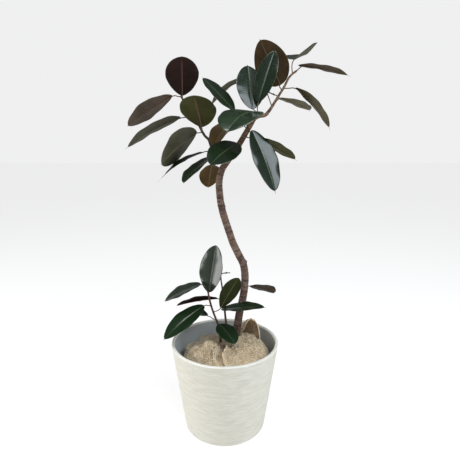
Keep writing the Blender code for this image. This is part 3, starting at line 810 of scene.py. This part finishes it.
# %% Bark finish
def bark(name, low_colours, high_colours, change_from, change_to, ring_scale, tan=0.0):
    made, tree, shader = new_material(name, Roughness=0.82, Specular_IOR_Level=0.25)
    coordinates = add_node(tree, "TexCoord")
    height = add_node(tree, "SeparateXYZ", {0: coordinates.outputs["Object"]}).outputs["Z"]
    patches = use_group(tree, mottle, {"Vector": coordinates.outputs["Object"], "Scale": 75.0,
                                       "Contrast": 1.6})
    old = blend(tree, patches["Mask"], *low_colours)
    young = blend(tree, patches["Mask"], *high_colours)
    colour = blend(tree, graded(tree, height, 0.0, 1.0, change_from, change_to), old, young)
    broad = use_group(tree, mottle, {"Vector": coordinates.outputs["Object"], "Scale": 19.0,
                                     "Contrast": 2.2})
    colour = blend(tree, maths(tree, "MULTIPLY", broad["Mask"], tan), colour, rgb(0.26, 0.17, 0.085))
    stretched = add_node(tree, "Mapping", {"Vector": coordinates.outputs["UV"],
                                           "Scale": (1.5, ring_scale, 1.0)})
    rings = add_node(tree, "TexNoise", {"Vector": stretched.outputs[0], "Scale": 1.0, "Detail": 6.0,
                                        "Roughness": 0.7})
    scars = graded(tree, rings.outputs[0], 0.0, 1.0, 0.51, 0.59)
    colour = blend(tree, maths(tree, "MULTIPLY", scars, 0.80), colour, rgb(0.032, 0.019, 0.015))
    pale = graded(tree, rings.outputs[0], 1.0, 0.0, 0.38, 0.46)
    colour = blend(tree, maths(tree, "MULTIPLY", pale, 0.45), colour, rgb(0.27, 0.215, 0.185))
    tree.links.new(colour, shader["Base Color"])
    relief = maths(tree, "ADD", rings.outputs[0], maths(tree, "MULTIPLY", patches["Mask"], 0.4))
    tree.links.new(bump(tree, relief, 0.9, 1.2 * MM), shader["Normal"])
    return made


trunk_bark = bark("trunk_bark", (rgb(0.070, 0.040, 0.032), rgb(0.165, 0.110, 0.092)),
                  (rgb(0.085, 0.048, 0.028), rgb(0.180, 0.110, 0.062)), 0.72, 0.84, 190.0, 0.30)
branch_bark = bark("branch_bark", (rgb(0.035, 0.022, 0.015), rgb(0.085, 0.055, 0.038)),
                   (rgb(0.045, 0.026, 0.018), rgb(0.10, 0.06, 0.04)), 0.80, 0.93, 240.0, 0.15)
shoot_bark = bark("shoot_bark", (rgb(0.070, 0.058, 0.022), rgb(0.125, 0.095, 0.040)),
                  (rgb(0.085, 0.040, 0.024), rgb(0.14, 0.075, 0.045)), 0.28, 0.33, 260.0)


# %% [markdown]
# Ring scars, wrinkles and knots are moved in the mesh itself, so they show in the outline.

# %% Stem relief
def stem_relief(along, turn, radius, rng, knots):
    """Height of the bark over the smooth stem, for each point along it and each side."""
    relief = np.zeros((len(along), len(turn)))
    for i, distance in enumerate(along):
        for j, angle in enumerate(turn):
            spot = Vector((math.cos(angle) * 2.2, math.sin(angle) * 2.2, distance * 45.0))
            fine = Vector((math.cos(angle) * 5.0, math.sin(angle) * 5.0, distance * 190.0))
            relief[i, j] = 0.55 * noise.noise(spot) + 0.25 * noise.noise(fine)
    relief *= 0.075 * radius[:, None]
    scar = rng.uniform(4, 10) * MM
    while scar < along[-1]:
        bend = rng.uniform(0.4, 1.4) * MM * np.sin(turn + rng.uniform(0, math.tau))
        near = (along[:, None] - scar - bend[None]) / (0.9 * MM)
        height = rng.uniform(0.02, 0.07) * np.interp(scar, along, radius)
        relief += height * np.exp(-near ** 2)
        scar += rng.uniform(7, 17) * MM
    for distance, angle, reach, height in knots:
        away = np.angle(np.exp(1j * (turn - angle)))[None] * radius[:, None]
        near = np.hypot(along[:, None] - distance, away) / reach
        relief += height * np.exp(-near ** 2)
    return relief


# %% Grow a stem
def grow_stem(bm, name, sides, seed, finish=0, stubs=()):
    """A dense tube along a stem's line, with its relief; stubs are (height, heading, size)."""
    line, radius = STEMS[name]
    turn = np.arange(sides) * math.tau / sides
    first, second = carried_frames(line)
    along = lengths(line)
    bumps = []
    for height, heading, size in stubs:
        index = np.abs(line[:, 2] - height).argmin()
        wanted = np.array((math.cos(math.radians(heading)), math.sin(math.radians(heading)), 0.0))
        angle = math.atan2(wanted @ second[index], wanted @ first[index])
        bumps.append((along[index], angle, size * 1.1, size))
    relief = stem_relief(along, turn, radius, np.random.default_rng(seed), bumps)
    tube(bm, line, radius[:, None] + relief, sides, finish)


# %% Trunk, side branch and young shoots
STUBS = ((0.492, 0, 3.0 * MM), (0.655, 10, 2.0 * MM), (0.662, 20, 1.8 * MM), (0.870, 170, 2.4 * MM),
         (0.905, 20, 1.4 * MM), (0.588, 200, 1.4 * MM), (0.735, -60, 1.5 * MM), (0.413, -60, 1.6 * MM))
BRANCH_STUBS = ((0.835, -70, 1.3 * MM), (0.872, -90, 1.2 * MM), (0.925, 200, 1.1 * MM))
stem_bm = bmesh.new()
grow_stem(stem_bm, "trunk", 32, 11, stubs=STUBS)
grow_stem(stem_bm, "branch", 20, 12, finish=1, stubs=BRANCH_STUBS)
finished(stem_bm, "trunk_and_branch", [trunk_bark, branch_bark], ["stem"])
for shoot_name, seed in (("left_shoot", 21), ("right_shoot", 22)):
    shoot_bm = bmesh.new()
    grow_stem(shoot_bm, shoot_name, 18, seed)
    finished(shoot_bm, shoot_name + "_grown", [shoot_bark], [shoot_name])
print("grew", list(STEMS))

# %% [markdown]
# ## Planter
# A planter like this is cast from stone powder and resin and brushed round its outside while
# soft, so the strokes run level with fine ridges. The shape is turned: one profile, stepped
# round the axis. The strokes are real relief of about a tenth of a millimetre, and the finish
# repeats them as paler and darker streaks. The inside is smooth and grey.

# %% Planter finishes
def brushed_clay():
    made, tree, shader = new_material("brushed_clay", Roughness=0.78, Specular_IOR_Level=0.3)
    coordinates = add_node(tree, "TexCoord")
    streaked = add_node(tree, "Mapping", {"Vector": coordinates.outputs["UV"], "Scale": (26.0, 230.0, 1.0)})
    streaks = add_node(tree, "TexNoise", {"Vector": streaked.outputs[0], "Scale": 1.0, "Detail": 6.0,
                                          "Roughness": 0.65, "Distortion": 0.4})
    swept = add_node(tree, "Mapping", {"Vector": coordinates.outputs["UV"], "Scale": (20.0, 75.0, 1.0),
                                       "Rotation": (0.0, 0.0, 0.10)})
    sweeps = add_node(tree, "TexNoise", {"Vector": swept.outputs[0], "Scale": 1.0, "Detail": 4.0})
    colour = blend(tree, graded(tree, streaks.outputs[0], 0.0, 1.0, 0.30, 0.70),
                   rgb(0.63, 0.605, 0.515), rgb(0.74, 0.720, 0.635))
    colour = blend(tree, graded(tree, sweeps.outputs[0], 0.45, 0.0, 0.34, 0.52), colour,
                   rgb(0.61, 0.59, 0.515))
    colour = blend(tree, graded(tree, sweeps.outputs[0], 0.0, 0.35, 0.55, 0.70), colour,
                   rgb(0.76, 0.755, 0.71))
    tree.links.new(colour, shader["Base Color"])
    tree.links.new(bump(tree, streaks.outputs[0], 0.35, 0.8 * MM), shader["Normal"])
    return made


def smooth_clay(name, dark, light):
    made, tree, shader = new_material(name, Roughness=0.62, Specular_IOR_Level=0.3)
    place = add_node(tree, "TexCoord").outputs["Object"]
    patches = use_group(tree, mottle, {"Vector": place, "Scale": 14.0, "Contrast": 1.0})
    dust = use_group(tree, fine_dust, {"Amount": 0.25})
    colour = blend(tree, patches["Mask"], dark, light)
    tree.links.new(blend(tree, dust["Mask"], colour, rgb(0.5, 0.47, 0.42)), shader["Base Color"])
    tree.links.new(bump(tree, patches["Mask"], 0.2, 1.0 * MM), shader["Normal"])
    return made


clay_outside = brushed_clay()
# The rim is the wall's clay painted paler: a painted highlight along the rounded lip.
clay_rim_highlight = smooth_clay("rim_clay_painted_highlight", rgb(0.76, 0.75, 0.67), rgb(0.86, 0.85, 0.78))
clay_inside = smooth_clay("inside_clay", rgb(0.40, 0.420, 0.415), rgb(0.49, 0.510, 0.505))

# %% Planter shape
planter_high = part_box("planter")[1]
RIM_RADIUS = planter_high.x
PLANTER_HEIGHT = planter_high.z
BASE_SHARE = 0.7645                 # base radius over rim radius
WALL = 9.0 * MM
FLOOR_THICK = 12.0 * MM
FOOT_ROUND = 10.0 * MM
RIM_ROUND = 3.5 * MM
PLANTER_SIDES = 224
STROKE_RELIEF = 0.10 * MM
BASE_RADIUS = RIM_RADIUS * BASE_SHARE


def wall_radius(height):
    return BASE_RADIUS + (RIM_RADIUS - BASE_RADIUS) * height / PLANTER_HEIGHT


def arc(centre, radius, start, end, steps):
    """Points of a rounded corner in the profile's plane, angles in degrees."""
    angles = np.radians(np.linspace(start, end, steps))
    return [(centre[0] + radius * math.cos(a), centre[1] + radius * math.sin(a)) for a in angles]


def run(first, last, steps):
    """Points between two corners of the profile, without the ends."""
    shares = np.linspace(0, 1, steps + 2)[1:-1]
    return [tuple(np.array(first) + (np.array(last) - np.array(first)) * share) for share in shares]


# %% Planter mesh
def planter_profile():
    """(radius, height, finish) from the middle of the floor over the rim to the underside."""
    lip = PLANTER_HEIGHT - RIM_ROUND
    inside_foot = (wall_radius(FLOOR_THICK) - WALL, FLOOR_THICK * 1.7)
    inner = [(0.001, FLOOR_THICK), (inside_foot[0] - FLOOR_THICK, FLOOR_THICK), inside_foot]
    inner += run(inside_foot, (RIM_RADIUS - WALL, lip), 24) + [(RIM_RADIUS - WALL, lip - 1.0 * MM)]
    rim = arc((RIM_RADIUS - WALL + RIM_ROUND, lip), RIM_ROUND, 180, 90, 6)
    rim += arc((RIM_RADIUS - RIM_ROUND, lip), RIM_ROUND, 90, 0, 6)
    foot = arc((BASE_RADIUS - FOOT_ROUND, FOOT_ROUND), FOOT_ROUND, -4, -90, 8)
    outer = run(rim[-1], foot[0], 120) + foot + [(BASE_RADIUS * 0.5, 0.0), (0.001, 0.0)]
    return [(*point, finish) for points, finish in ((inner, 2), (rim, 1), (outer, 0))
            for point in points]


def build_planter():
    profile = planter_profile()
    turn = np.arange(PLANTER_SIDES) * math.tau / PLANTER_SIDES
    bm = bmesh.new()
    rows = []
    for radius, height, finish in profile:
        row = []
        for angle in turn:
            out = radius
            if finish == 0 and height > FOOT_ROUND:
                spot = Vector((math.cos(angle) * 1.6, math.sin(angle) * 1.6, height * 210.0))
                out += STROKE_RELIEF * (noise.noise(spot) - 0.6)
            row.append(bm.verts.new((out * math.cos(angle), out * math.sin(angle), height)))
        rows.append(row)
    up = lengths(np.array([(radius, height) for radius, height, _ in profile]))
    start = 0
    for index in range(1, len(profile)):
        if index == len(profile) - 1 or profile[index + 1][2] != profile[index][2]:
            skin(bm, rows[start:index + 1],
                 lambda i, j, s=start: (j / PLANTER_SIDES * math.tau * RIM_RADIUS, up[s + i]),
                 closed=True, finish=profile[index][2])
            start = index
    bm.faces.new(rows[0])
    bm.faces.new(rows[-1])
    bmesh.ops.recalc_face_normals(bm, faces=bm.faces)
    return finished(bm, "planter_shell", [clay_outside, clay_rim_highlight, clay_inside], ["planter"])


planter = build_planter()
print("planter", len(planter.data.polygons), "faces")

# %% [markdown]
# ## Nursery pot and soil
# Both are nearly hidden, so the CAD shapes stay and get finishes: black plastic that has gone
# dusty, and dark peat whose crumbs are a bump in the finish. Modelling each crumb would cost
# far more than the small gap that shows them is worth.

# %% Pot and soil finishes
pot_plastic, pot_tree, pot_shader = new_material("pot_plastic", Roughness=0.5)
pot_dust = use_group(pot_tree, fine_dust, {"Amount": 0.5})
pot_tree.links.new(blend(pot_tree, pot_dust["Mask"], rgb(0.016, 0.016, 0.017), rgb(0.12, 0.10, 0.08)),
                   pot_shader["Base Color"])
peat, peat_tree, peat_shader = new_material("peat", Roughness=0.95, Specular_IOR_Level=0.15)
peat_place = add_node(peat_tree, "TexCoord").outputs["Object"]
crumbs = add_node(peat_tree, "TexVoronoi", {"Vector": peat_place, "Scale": 260.0})
peat_patches = use_group(peat_tree, mottle, {"Vector": peat_place, "Scale": 90.0, "Contrast": 1.5})
peat_colour = blend(peat_tree, peat_patches["Mask"], rgb(0.018, 0.011, 0.007), rgb(0.070, 0.045, 0.027))
peat_tree.links.new(peat_colour, peat_shader["Base Color"])
peat_tree.links.new(bump(peat_tree, crumbs.outputs["Distance"], 0.9, 2.0 * MM), peat_shader["Normal"])
for node_name, finish in (("nursery_pot", pot_plastic), ("soil", peat)):
    NODES[node_name].data.materials.clear()
    NODES[node_name].data.materials.append(finish)
print("kept the CAD shapes of the nursery pot and the soil")

# %% [markdown]
# ## Burlap
# One piece of burlap is wrapped round the trunk to hide the soil. It is cut from one edge to
# the middle, so it has two free edges beside the trunk: the front one runs on underneath, and
# the back one stands over it as an open puff. At the front the cloth is folded over itself in
# a deep pleat, which the sheet here makes as one crease that rises on one side and drops on the
# other, without a second layer. A cloth simulation could drape it; here it is shaped in code,
# which puts each fold where it should be. Rows run out from the trunk, columns run round it,
# and each point is lifted by lobes, folds and wrinkles. The weave is laid out on the plan of
# the cloth, larger by its slack, so the threads keep nearly their real size.

# %% Burlap finish
OPEN_WEAVE_PLACE = (-0.051, -0.077, 0.0)   # where the threads have slid apart, on the flat cloth
burlap, burlap_tree, burlap_shader = new_material("burlap", Roughness=0.95, Specular_IOR_Level=0.1,
                                                  Sheen_Weight=0.25, Sheen_Roughness=0.6)
flat_place = add_node(burlap_tree, "TexCoord").outputs["UV"]
loose_patch = use_group(burlap_tree, mottle, {"Vector": flat_place, "Scale": 16.0, "Contrast": 2.0})
cloth = use_group(burlap_tree, weave, {"Vector": flat_place, "Threads": 300.0})
burlap_tree.links.new(graded(burlap_tree, loose_patch["Mask"], 0.15, 0.55, 0.35, 0.75),
                      cloth["Holes"].node.inputs["Looseness"])
tone = use_group(burlap_tree, mottle, {"Vector": flat_place, "Scale": 34.0, "Contrast": 1.3})
jute = blend(burlap_tree, tone["Mask"], rgb(0.50, 0.380, 0.225), rgb(0.82, 0.655, 0.435))
# Painted shade where a thread dips under the other, from the weave's Shade, partly the slubs' random tone.
jute = blend(burlap_tree, graded(burlap_tree, cloth["Shade"], 0.75, 0.0, 0.22, 0.55), jute,
             rgb(0.24, 0.165, 0.095))
jute = blend(burlap_tree, graded(burlap_tree, cloth["Streak"], 0.0, 0.55, 0.56, 0.70), jute,
             rgb(0.88, 0.755, 0.56))
# Holes painted dark: partly the dark soil below, partly painted shade in the gaps.
jute = blend(burlap_tree, cloth["Holes"], jute, rgb(0.090, 0.058, 0.032))
# In the loose patch the gaps are painted darker: painted shade in the gaps between threads that have slid
# apart.
from_open_weave = add_node(burlap_tree, "VectorMath", {0: flat_place, 1: OPEN_WEAVE_PLACE}, operation="DISTANCE")
open_weave_share = graded(burlap_tree, from_open_weave.outputs["Value"], 0.95, 0.0, 0.018, 0.040)
open_weave = use_group(burlap_tree, weave, {"Vector": flat_place, "Threads": 165.0, "Looseness": 0.55})
jute = blend(burlap_tree, maths(burlap_tree, "MULTIPLY", open_weave["Holes"], open_weave_share), jute,
             rgb(0.16, 0.105, 0.055))
burlap_tree.links.new(jute, burlap_shader["Base Color"])
burlap_tree.links.new(bump(burlap_tree, cloth["Height"], 0.9, 0.7 * MM), burlap_shader["Normal"])

# %% Burlap shape
trunk_line = STEMS["trunk"][0]
TRUNK = trunk_line[np.abs(trunk_line[:, 2] - 0.255).argmin()][:2]
pot_low, pot_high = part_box("nursery_pot")
POT_MIDDLE = np.array(((pot_low.x + pot_high.x) / 2, (pot_low.y + pot_high.y) / 2))
COVER_RADIUS = 0.1235
SOIL_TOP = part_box("soil")[1].z
SOIL_FALL = SOIL_TOP - pot_high.z
COVER_EDGE = 0.219                  # height where the cloth rolls over the pot's lip
COVER_RISE = 0.026
CLOTH_GAP = 1.5 * MM                # least height of the cloth over the soil
TUCK = 0.030                        # how far it hangs down inside the planter
HANG_FROM = 0.86                    # share of the rows that lie on top; the rest hang down
TRUNK_HOLE = 0.011                  # radius of the hole round the trunk
FRONT_EDGE = 66.0                   # headings of the two free edges, seen from the trunk
BACK_EDGE = -325.0
FRONT_HEM = 2.0                     # heading of the raised hem in front of the puff
ROUND_STEPS = 520
OUT_STEPS = 120
LOBES = (                           # x, y, reach, height of the soft lobes and hollows
    (-0.052, -0.040, 0.042, 0.018), (0.085, -0.008, 0.044, 0.022), (0.076, -0.066, 0.026, 0.013),
    (-0.045, 0.075, 0.055, -0.020), (0.010, 0.020, 0.030, -0.006), (-0.045, -0.085, 0.026, 0.008),
    (-0.092, 0.008, 0.030, -0.012), (0.035, -0.085, 0.022, -0.006),
)
# Creases are lines across the cloth: points, rise on the left of the line, drop on its right,
# and the reach of each.
CREASES = (
    (((0.014, 0.002), (0.005, -0.025), (-0.007, -0.062), (-0.004, -0.090), (0.003, -0.112)),
     0.010, -0.030, 0.007, 0.016),
    (((0.112, -0.036), (0.078, -0.042), (0.050, -0.040), (0.030, -0.058)), 0.003, -0.010, 0.012, 0.007),
    (((0.018, -0.002), (-0.020, -0.004), (-0.055, 0.012)), -0.009, 0.003, 0.007, 0.012),
    (((-0.030, -0.030), (-0.036, -0.070), (-0.028, -0.105)), 0.003, -0.006, 0.010, 0.006),
    (((0.100, 0.050), (0.070, 0.034), (0.046, 0.020)), 0.000, 0.006, 0.004, 0.006),
    (((0.062, 0.006), (0.052, -0.016), (0.066, -0.030)), -0.006, 0.003, 0.006, 0.012),
    (((-0.066, -0.020), (-0.086, -0.052)), -0.005, 0.002, 0.005, 0.009),
)


def reach_to_edge(heading):
    """Distance from the trunk to the pot's lip along a heading in radians."""
    ahead = np.array((math.cos(heading), math.sin(heading)))
    offset = TRUNK - POT_MIDDLE
    along = offset @ ahead
    return -along + math.sqrt(along * along - offset @ offset + COVER_RADIUS ** 2)


# %% Folds of the burlap
def ridges(x, y, scale, seed):
    """Sharp-crested wrinkles, from 0 in a valley to 1 on a crest."""
    value = noise.noise(Vector((x * scale, y * scale, seed)))
    return 1.0 - min(1.0, abs(value) * 2.6)


def soil_height(x, y):
    """The domed soil and the pot's rim that the cloth lies on."""
    out = math.hypot(x - POT_MIDDLE[0], y - POT_MIDDLE[1])
    return SOIL_TOP - SOIL_FALL * min(1.0, max(0.0, (out - 0.080) / 0.040)) ** 2


def crease_height(x, y, points, left_rise, right_rise, left_reach, right_reach):
    """Height that a crease adds beside its line; it fades past both of its ends."""
    best = (1.0, 0.0)
    for (ax, ay), (bx, by) in zip(points[:-1], points[1:]):
        dx, dy = bx - ax, by - ay
        length = math.hypot(dx, dy)
        share = max(0.0, min(1.0, ((x - ax) * dx + (y - ay) * dy) / length ** 2))
        away = math.hypot(x - ax - dx * share, y - ay - dy * share)
        side = (dx * (y - ay) - dy * (x - ax)) / length
        if away < best[0]:
            best = (away, side)
    away, side = best
    left_part = 0.5 + 0.5 * math.tanh(side / (1.6 * MM))
    return (left_part * left_rise * math.exp(-(away / left_reach) ** 2)
            + (1 - left_part) * right_rise * math.exp(-(away / right_reach) ** 2))


def cloth_height(x, y):
    """Height of the cover over the plan, without the puff."""
    share = min(1.0, math.hypot(x - POT_MIDDLE[0], y - POT_MIDDLE[1]) / COVER_RADIUS)
    height = COVER_EDGE + COVER_RISE * math.sqrt(max(0.0, 1.0 - share ** 4))
    fade = 1.0 - share ** 8
    for lobe_x, lobe_y, reach, rise in LOBES:
        height += fade * rise * math.exp(-((x - lobe_x) ** 2 + (y - lobe_y) ** 2) / reach ** 2)
    bend = 0.010 * noise.noise(Vector((x * 22, y * 22, 5.0)))
    for crease in CREASES:
        height += fade * crease_height(x + 0.4 * bend, y - 0.4 * bend, *crease)
    wrinkles = 0.012 * (1.0 - ridges(x + bend, y - bend, 21, 1.0))
    wrinkles += 0.0068 * ridges(x - bend, y + bend, 47, 7.0)
    wrinkles += 0.0022 * ridges(x, y, 95, 3.0)
    height += (0.35 + 0.65 * fade) * (wrinkles - 0.008)
    return max(height, soil_height(x, y) + CLOTH_GAP)


PUFF_SPAN = 58.0                    # degrees round the trunk that the puff takes up
PUFF_RISE = 0.052
PUFF_DIP = 0.07                     # how much lower the puff's lip is than its top
PUFF_OUT = 0.34                     # lean to the right and to the front, over its height
PUFF_FRONT = 0.05
CURL_FROM = 0.60                    # share of the way out where the lip curls forward
CURL_OUT = 0.012
CURL_FRONT = 0.046


def puff_height(heading, share):
    """Extra height of the puff that stands up at the back free edge."""
    from_edge = (heading - BACK_EDGE) / PUFF_SPAN
    if from_edge > 1.0:
        return 0.0
    lip = 1.0 - PUFF_DIP + PUFF_DIP * math.sin(0.5 * math.pi * min(1.0, from_edge / 0.25))
    behind = math.cos(0.5 * math.pi * from_edge) ** 0.8
    arch = math.sin(math.pi * min(1.0, max(0.0, share / 0.97))) ** 0.38
    return PUFF_RISE * arch * lip * behind


# %% Burlap mesh
def burlap_point(round_share, out_share):
    """(place, flat place) of one point of the sheet."""
    heading = FRONT_EDGE + (BACK_EDGE - FRONT_EDGE) * round_share
    angle = math.radians(heading)
    hang = max(0.0, out_share - HANG_FROM) / (1.0 - HANG_FROM)
    out = min(out_share / HANG_FROM, 1.0)
    radius = TRUNK_HOLE + (reach_to_edge(angle) - TRUNK_HOLE) * out
    x = TRUNK[0] + radius * math.cos(angle)
    y = TRUNK[1] + radius * math.sin(angle)
    puff = puff_height(heading, out)
    z = cloth_height(x, y) + puff
    drop = TUCK * hang
    flat_radius = radius + drop
    flat = (TRUNK[0] + flat_radius * math.cos(angle), TRUNK[1] + flat_radius * math.sin(angle))
    swell = 0.004 * math.sin(math.pi * min(1.0, hang * 1.2))
    swell += 0.002 * noise.noise(Vector((math.cos(angle) * 5, math.sin(angle) * 5, 2.0)))
    if hang > 0:
        x += swell * math.cos(angle)
        y += swell * math.sin(angle)
    near_edge = max(0.0, 1.0 - (heading - BACK_EDGE) / PUFF_SPAN)
    curl = max(0.0, (out - CURL_FROM) / (1.0 - CURL_FROM)) ** 1.5 * near_edge ** 2
    x += PUFF_OUT * puff + CURL_OUT * curl * (1.0 - hang)
    y -= (PUFF_FRONT * puff + CURL_FRONT * curl) * (1.0 - hang)
    return (x, y, z - drop), flat


SLACK = 1.16                        # cut cloth over the plan it covers, taken up by the folds
burlap_bm = bmesh.new()
burlap_rows = []
flat_rows = []
for step in range(OUT_STEPS + 1):
    points = [burlap_point(column / ROUND_STEPS, step / OUT_STEPS) for column in range(ROUND_STEPS + 1)]
    burlap_rows.append([burlap_bm.verts.new(place) for place, _ in points])
    flat_rows.append([np.array(flat) for _, flat in points])
skin(burlap_bm, burlap_rows, lambda i, j: flat_rows[i][j] * SLACK, flip=True)
burlap_cover = finished(burlap_bm, "burlap_sheet", [burlap], ["burlap_cover"])
thickness = burlap_cover.modifiers.new("thickness", "SOLIDIFY")
thickness.thickness = 0.9 * MM
thickness.offset = -1.0
print("burlap area", sum(face.area for face in burlap_cover.data.polygons), "m2")

# %% [markdown]
# The cloth's edge is hemmed: it is rolled over itself once and stitched, which makes a firm
# pale cord. One cord follows the lip of the puff, one lies on the cloth in front of it, and
# one follows the lip of the pleat. A tube that follows the cloth's own points is enough.

# %% Burlap hems
HEM_HALF = 1.9 * MM
HEM_LIFT = 1.2 * MM
hem_cloth = plain_skin("hem_cloth", rgb(0.60, 0.47, 0.31), rgb(0.84, 0.70, 0.50), 0.9)


def hem_over_cloth(points, offset):
    """A line lying on the cloth beside a crease."""
    points = np.array(points)
    knots = lengths(points)
    line = smooth(knots, points, np.linspace(0, knots[-1], 60))
    aside = unit(np.gradient(line, axis=0))[:, ::-1] * (-1.0, 1.0) * offset
    return np.array([(x, y, cloth_height(x, y) + HEM_HALF) for x, y in line + aside])


hem_bm = bmesh.new()
front_share = (FRONT_HEM - FRONT_EDGE) / (BACK_EDGE - FRONT_EDGE)
for round_share, last in ((front_share, 0.70), (1.0, HANG_FROM)):
    edge = np.array([burlap_point(round_share, share)[0] for share in np.linspace(0.04, last, 70)])
    tube(hem_bm, edge + (0.0, 0.0, HEM_LIFT), HEM_HALF, 10)
tube(hem_bm, hem_over_cloth(CREASES[0][0], 2.0 * MM), HEM_HALF * 1.2, 10)
finished(hem_bm, "burlap_hems", [hem_cloth], [])
print("hemmed the burlap")

# %% [markdown]
# ## Floor, light and camera
# The floor is one pale sheet that fades into a pale surround. A broad soft light low on the
# left shapes the planter, two panels on the right give the waxy leaves something bright to
# mirror, as a window would, and one overhead fills the shadows.

# %% Floor
floor_bm = bmesh.new()
bmesh.ops.create_grid(floor_bm, x_segments=1, y_segments=1, size=30.0)
floor_mesh = bpy.data.meshes.new("floor")
floor_bm.to_mesh(floor_mesh)
floor_bm.free()
floor = bpy.data.objects.new("floor", floor_mesh)
bpy.context.scene.collection.objects.link(floor)
floor_paint, floor_tree, floor_shader = new_material("floor_paint", Roughness=0.9,
                                                     Specular_IOR_Level=0.0, Emission_Strength=0.81,
                                                     Emission_Color=rgb(1.0, 1.0, 1.0))
floor_patches = use_group(floor_tree, mottle, {"Scale": 1.5, "Contrast": 0.2,
                                               "Vector": add_node(floor_tree, "TexCoord").outputs["Object"]})
floor_tree.links.new(blend(floor_tree, floor_patches["Mask"], rgb(0.28, 0.28, 0.28), rgb(0.30, 0.30, 0.30)),
                     floor_shader["Base Color"])
floor.data.materials.append(floor_paint)


# %% Lights
def softbox(name, place, target, width, height, watts, colour=(1.0, 1.0, 1.0)):
    light = bpy.data.lights.new(name, "AREA")
    light.shape = "RECTANGLE"
    light.size = width
    light.size_y = height
    light.energy = watts
    light.color = colour
    lamp = bpy.data.objects.new(name, light)
    lamp.location = place
    lamp.rotation_euler = (Vector(target) - Vector(place)).to_track_quat("-Z", "Y").to_euler()
    bpy.context.scene.collection.objects.link(lamp)


CROWN = (0.05, 0.0, 0.80)
POT = (0.0, 0.0, 0.25)
softbox("low_left", (-2.85, -0.50, 0.75), POT, 1.5, 1.4, 46.0)
softbox("window_right", (2.12, -0.73, 1.85), CROWN, 0.80, 1.35, 22.0, (0.84, 0.92, 1.0))
softbox("window_front", (1.12, -1.69, 2.40), CROWN, 2.0, 0.9, 40.0, (0.84, 0.92, 1.0))
softbox("overhead", (-0.25, -0.55, 3.0), POT, 1.2, 1.2, 34.0)
print("lights:", [light.name for light in bpy.data.lights])

# %% [markdown]
# The surround is a pale backdrop to the camera's own rays and a dim room to all the others, as
# in a studio with a white sheet behind and little light around. A plain pale room would be
# simpler, but the waxy leaves would mirror it and turn grey.

# %% Surround
world = bpy.data.worlds.new("pale_surround")
world.use_nodes = True
sky = world.node_tree
ahead = add_node(sky, "SeparateXYZ", {0: add_node(sky, "TexCoord").outputs["Generated"]})
dimming = graded(sky, ahead.outputs["Z"], 0.34, 0.10, 0.0, 0.45)
lit = sky.nodes["Background"]
sky.links.new(dimming, lit.inputs["Strength"])
backdrop = sky.nodes.new("ShaderNodeBackground")
backdrop.inputs["Color"].default_value = rgb(0.87, 0.87, 0.875)
lit.inputs["Color"].default_value = rgb(0.95, 0.97, 1.0)
choice = sky.nodes.new("ShaderNodeMixShader")
sky.links.new(sky.nodes.new("ShaderNodeLightPath").outputs["Is Camera Ray"], choice.inputs[0])
sky.links.new(lit.outputs[0], choice.inputs[1])
sky.links.new(backdrop.outputs[0], choice.inputs[2])
sky.links.new(choice.outputs[0], sky.nodes["World Output"].inputs["Surface"])
bpy.context.scene.world = world
bpy.context.scene.view_settings.view_transform = "Standard"

# %% Camera
CAMERA_PLACE = (0.015, -1.09, 0.803)
CAMERA_DIP = 11.0                   # degrees below level
LENS = 31.3
camera_data = bpy.data.cameras.new("camera")
camera_data.lens = LENS
camera_data.sensor_width = 36.0
camera_data.clip_start = 0.05
camera = bpy.data.objects.new("camera", camera_data)
camera.location = CAMERA_PLACE
camera.rotation_euler = (math.radians(90.0 - CAMERA_DIP), 0.0, 0.0)
bpy.context.scene.collection.objects.link(camera)
bpy.context.scene.camera = camera
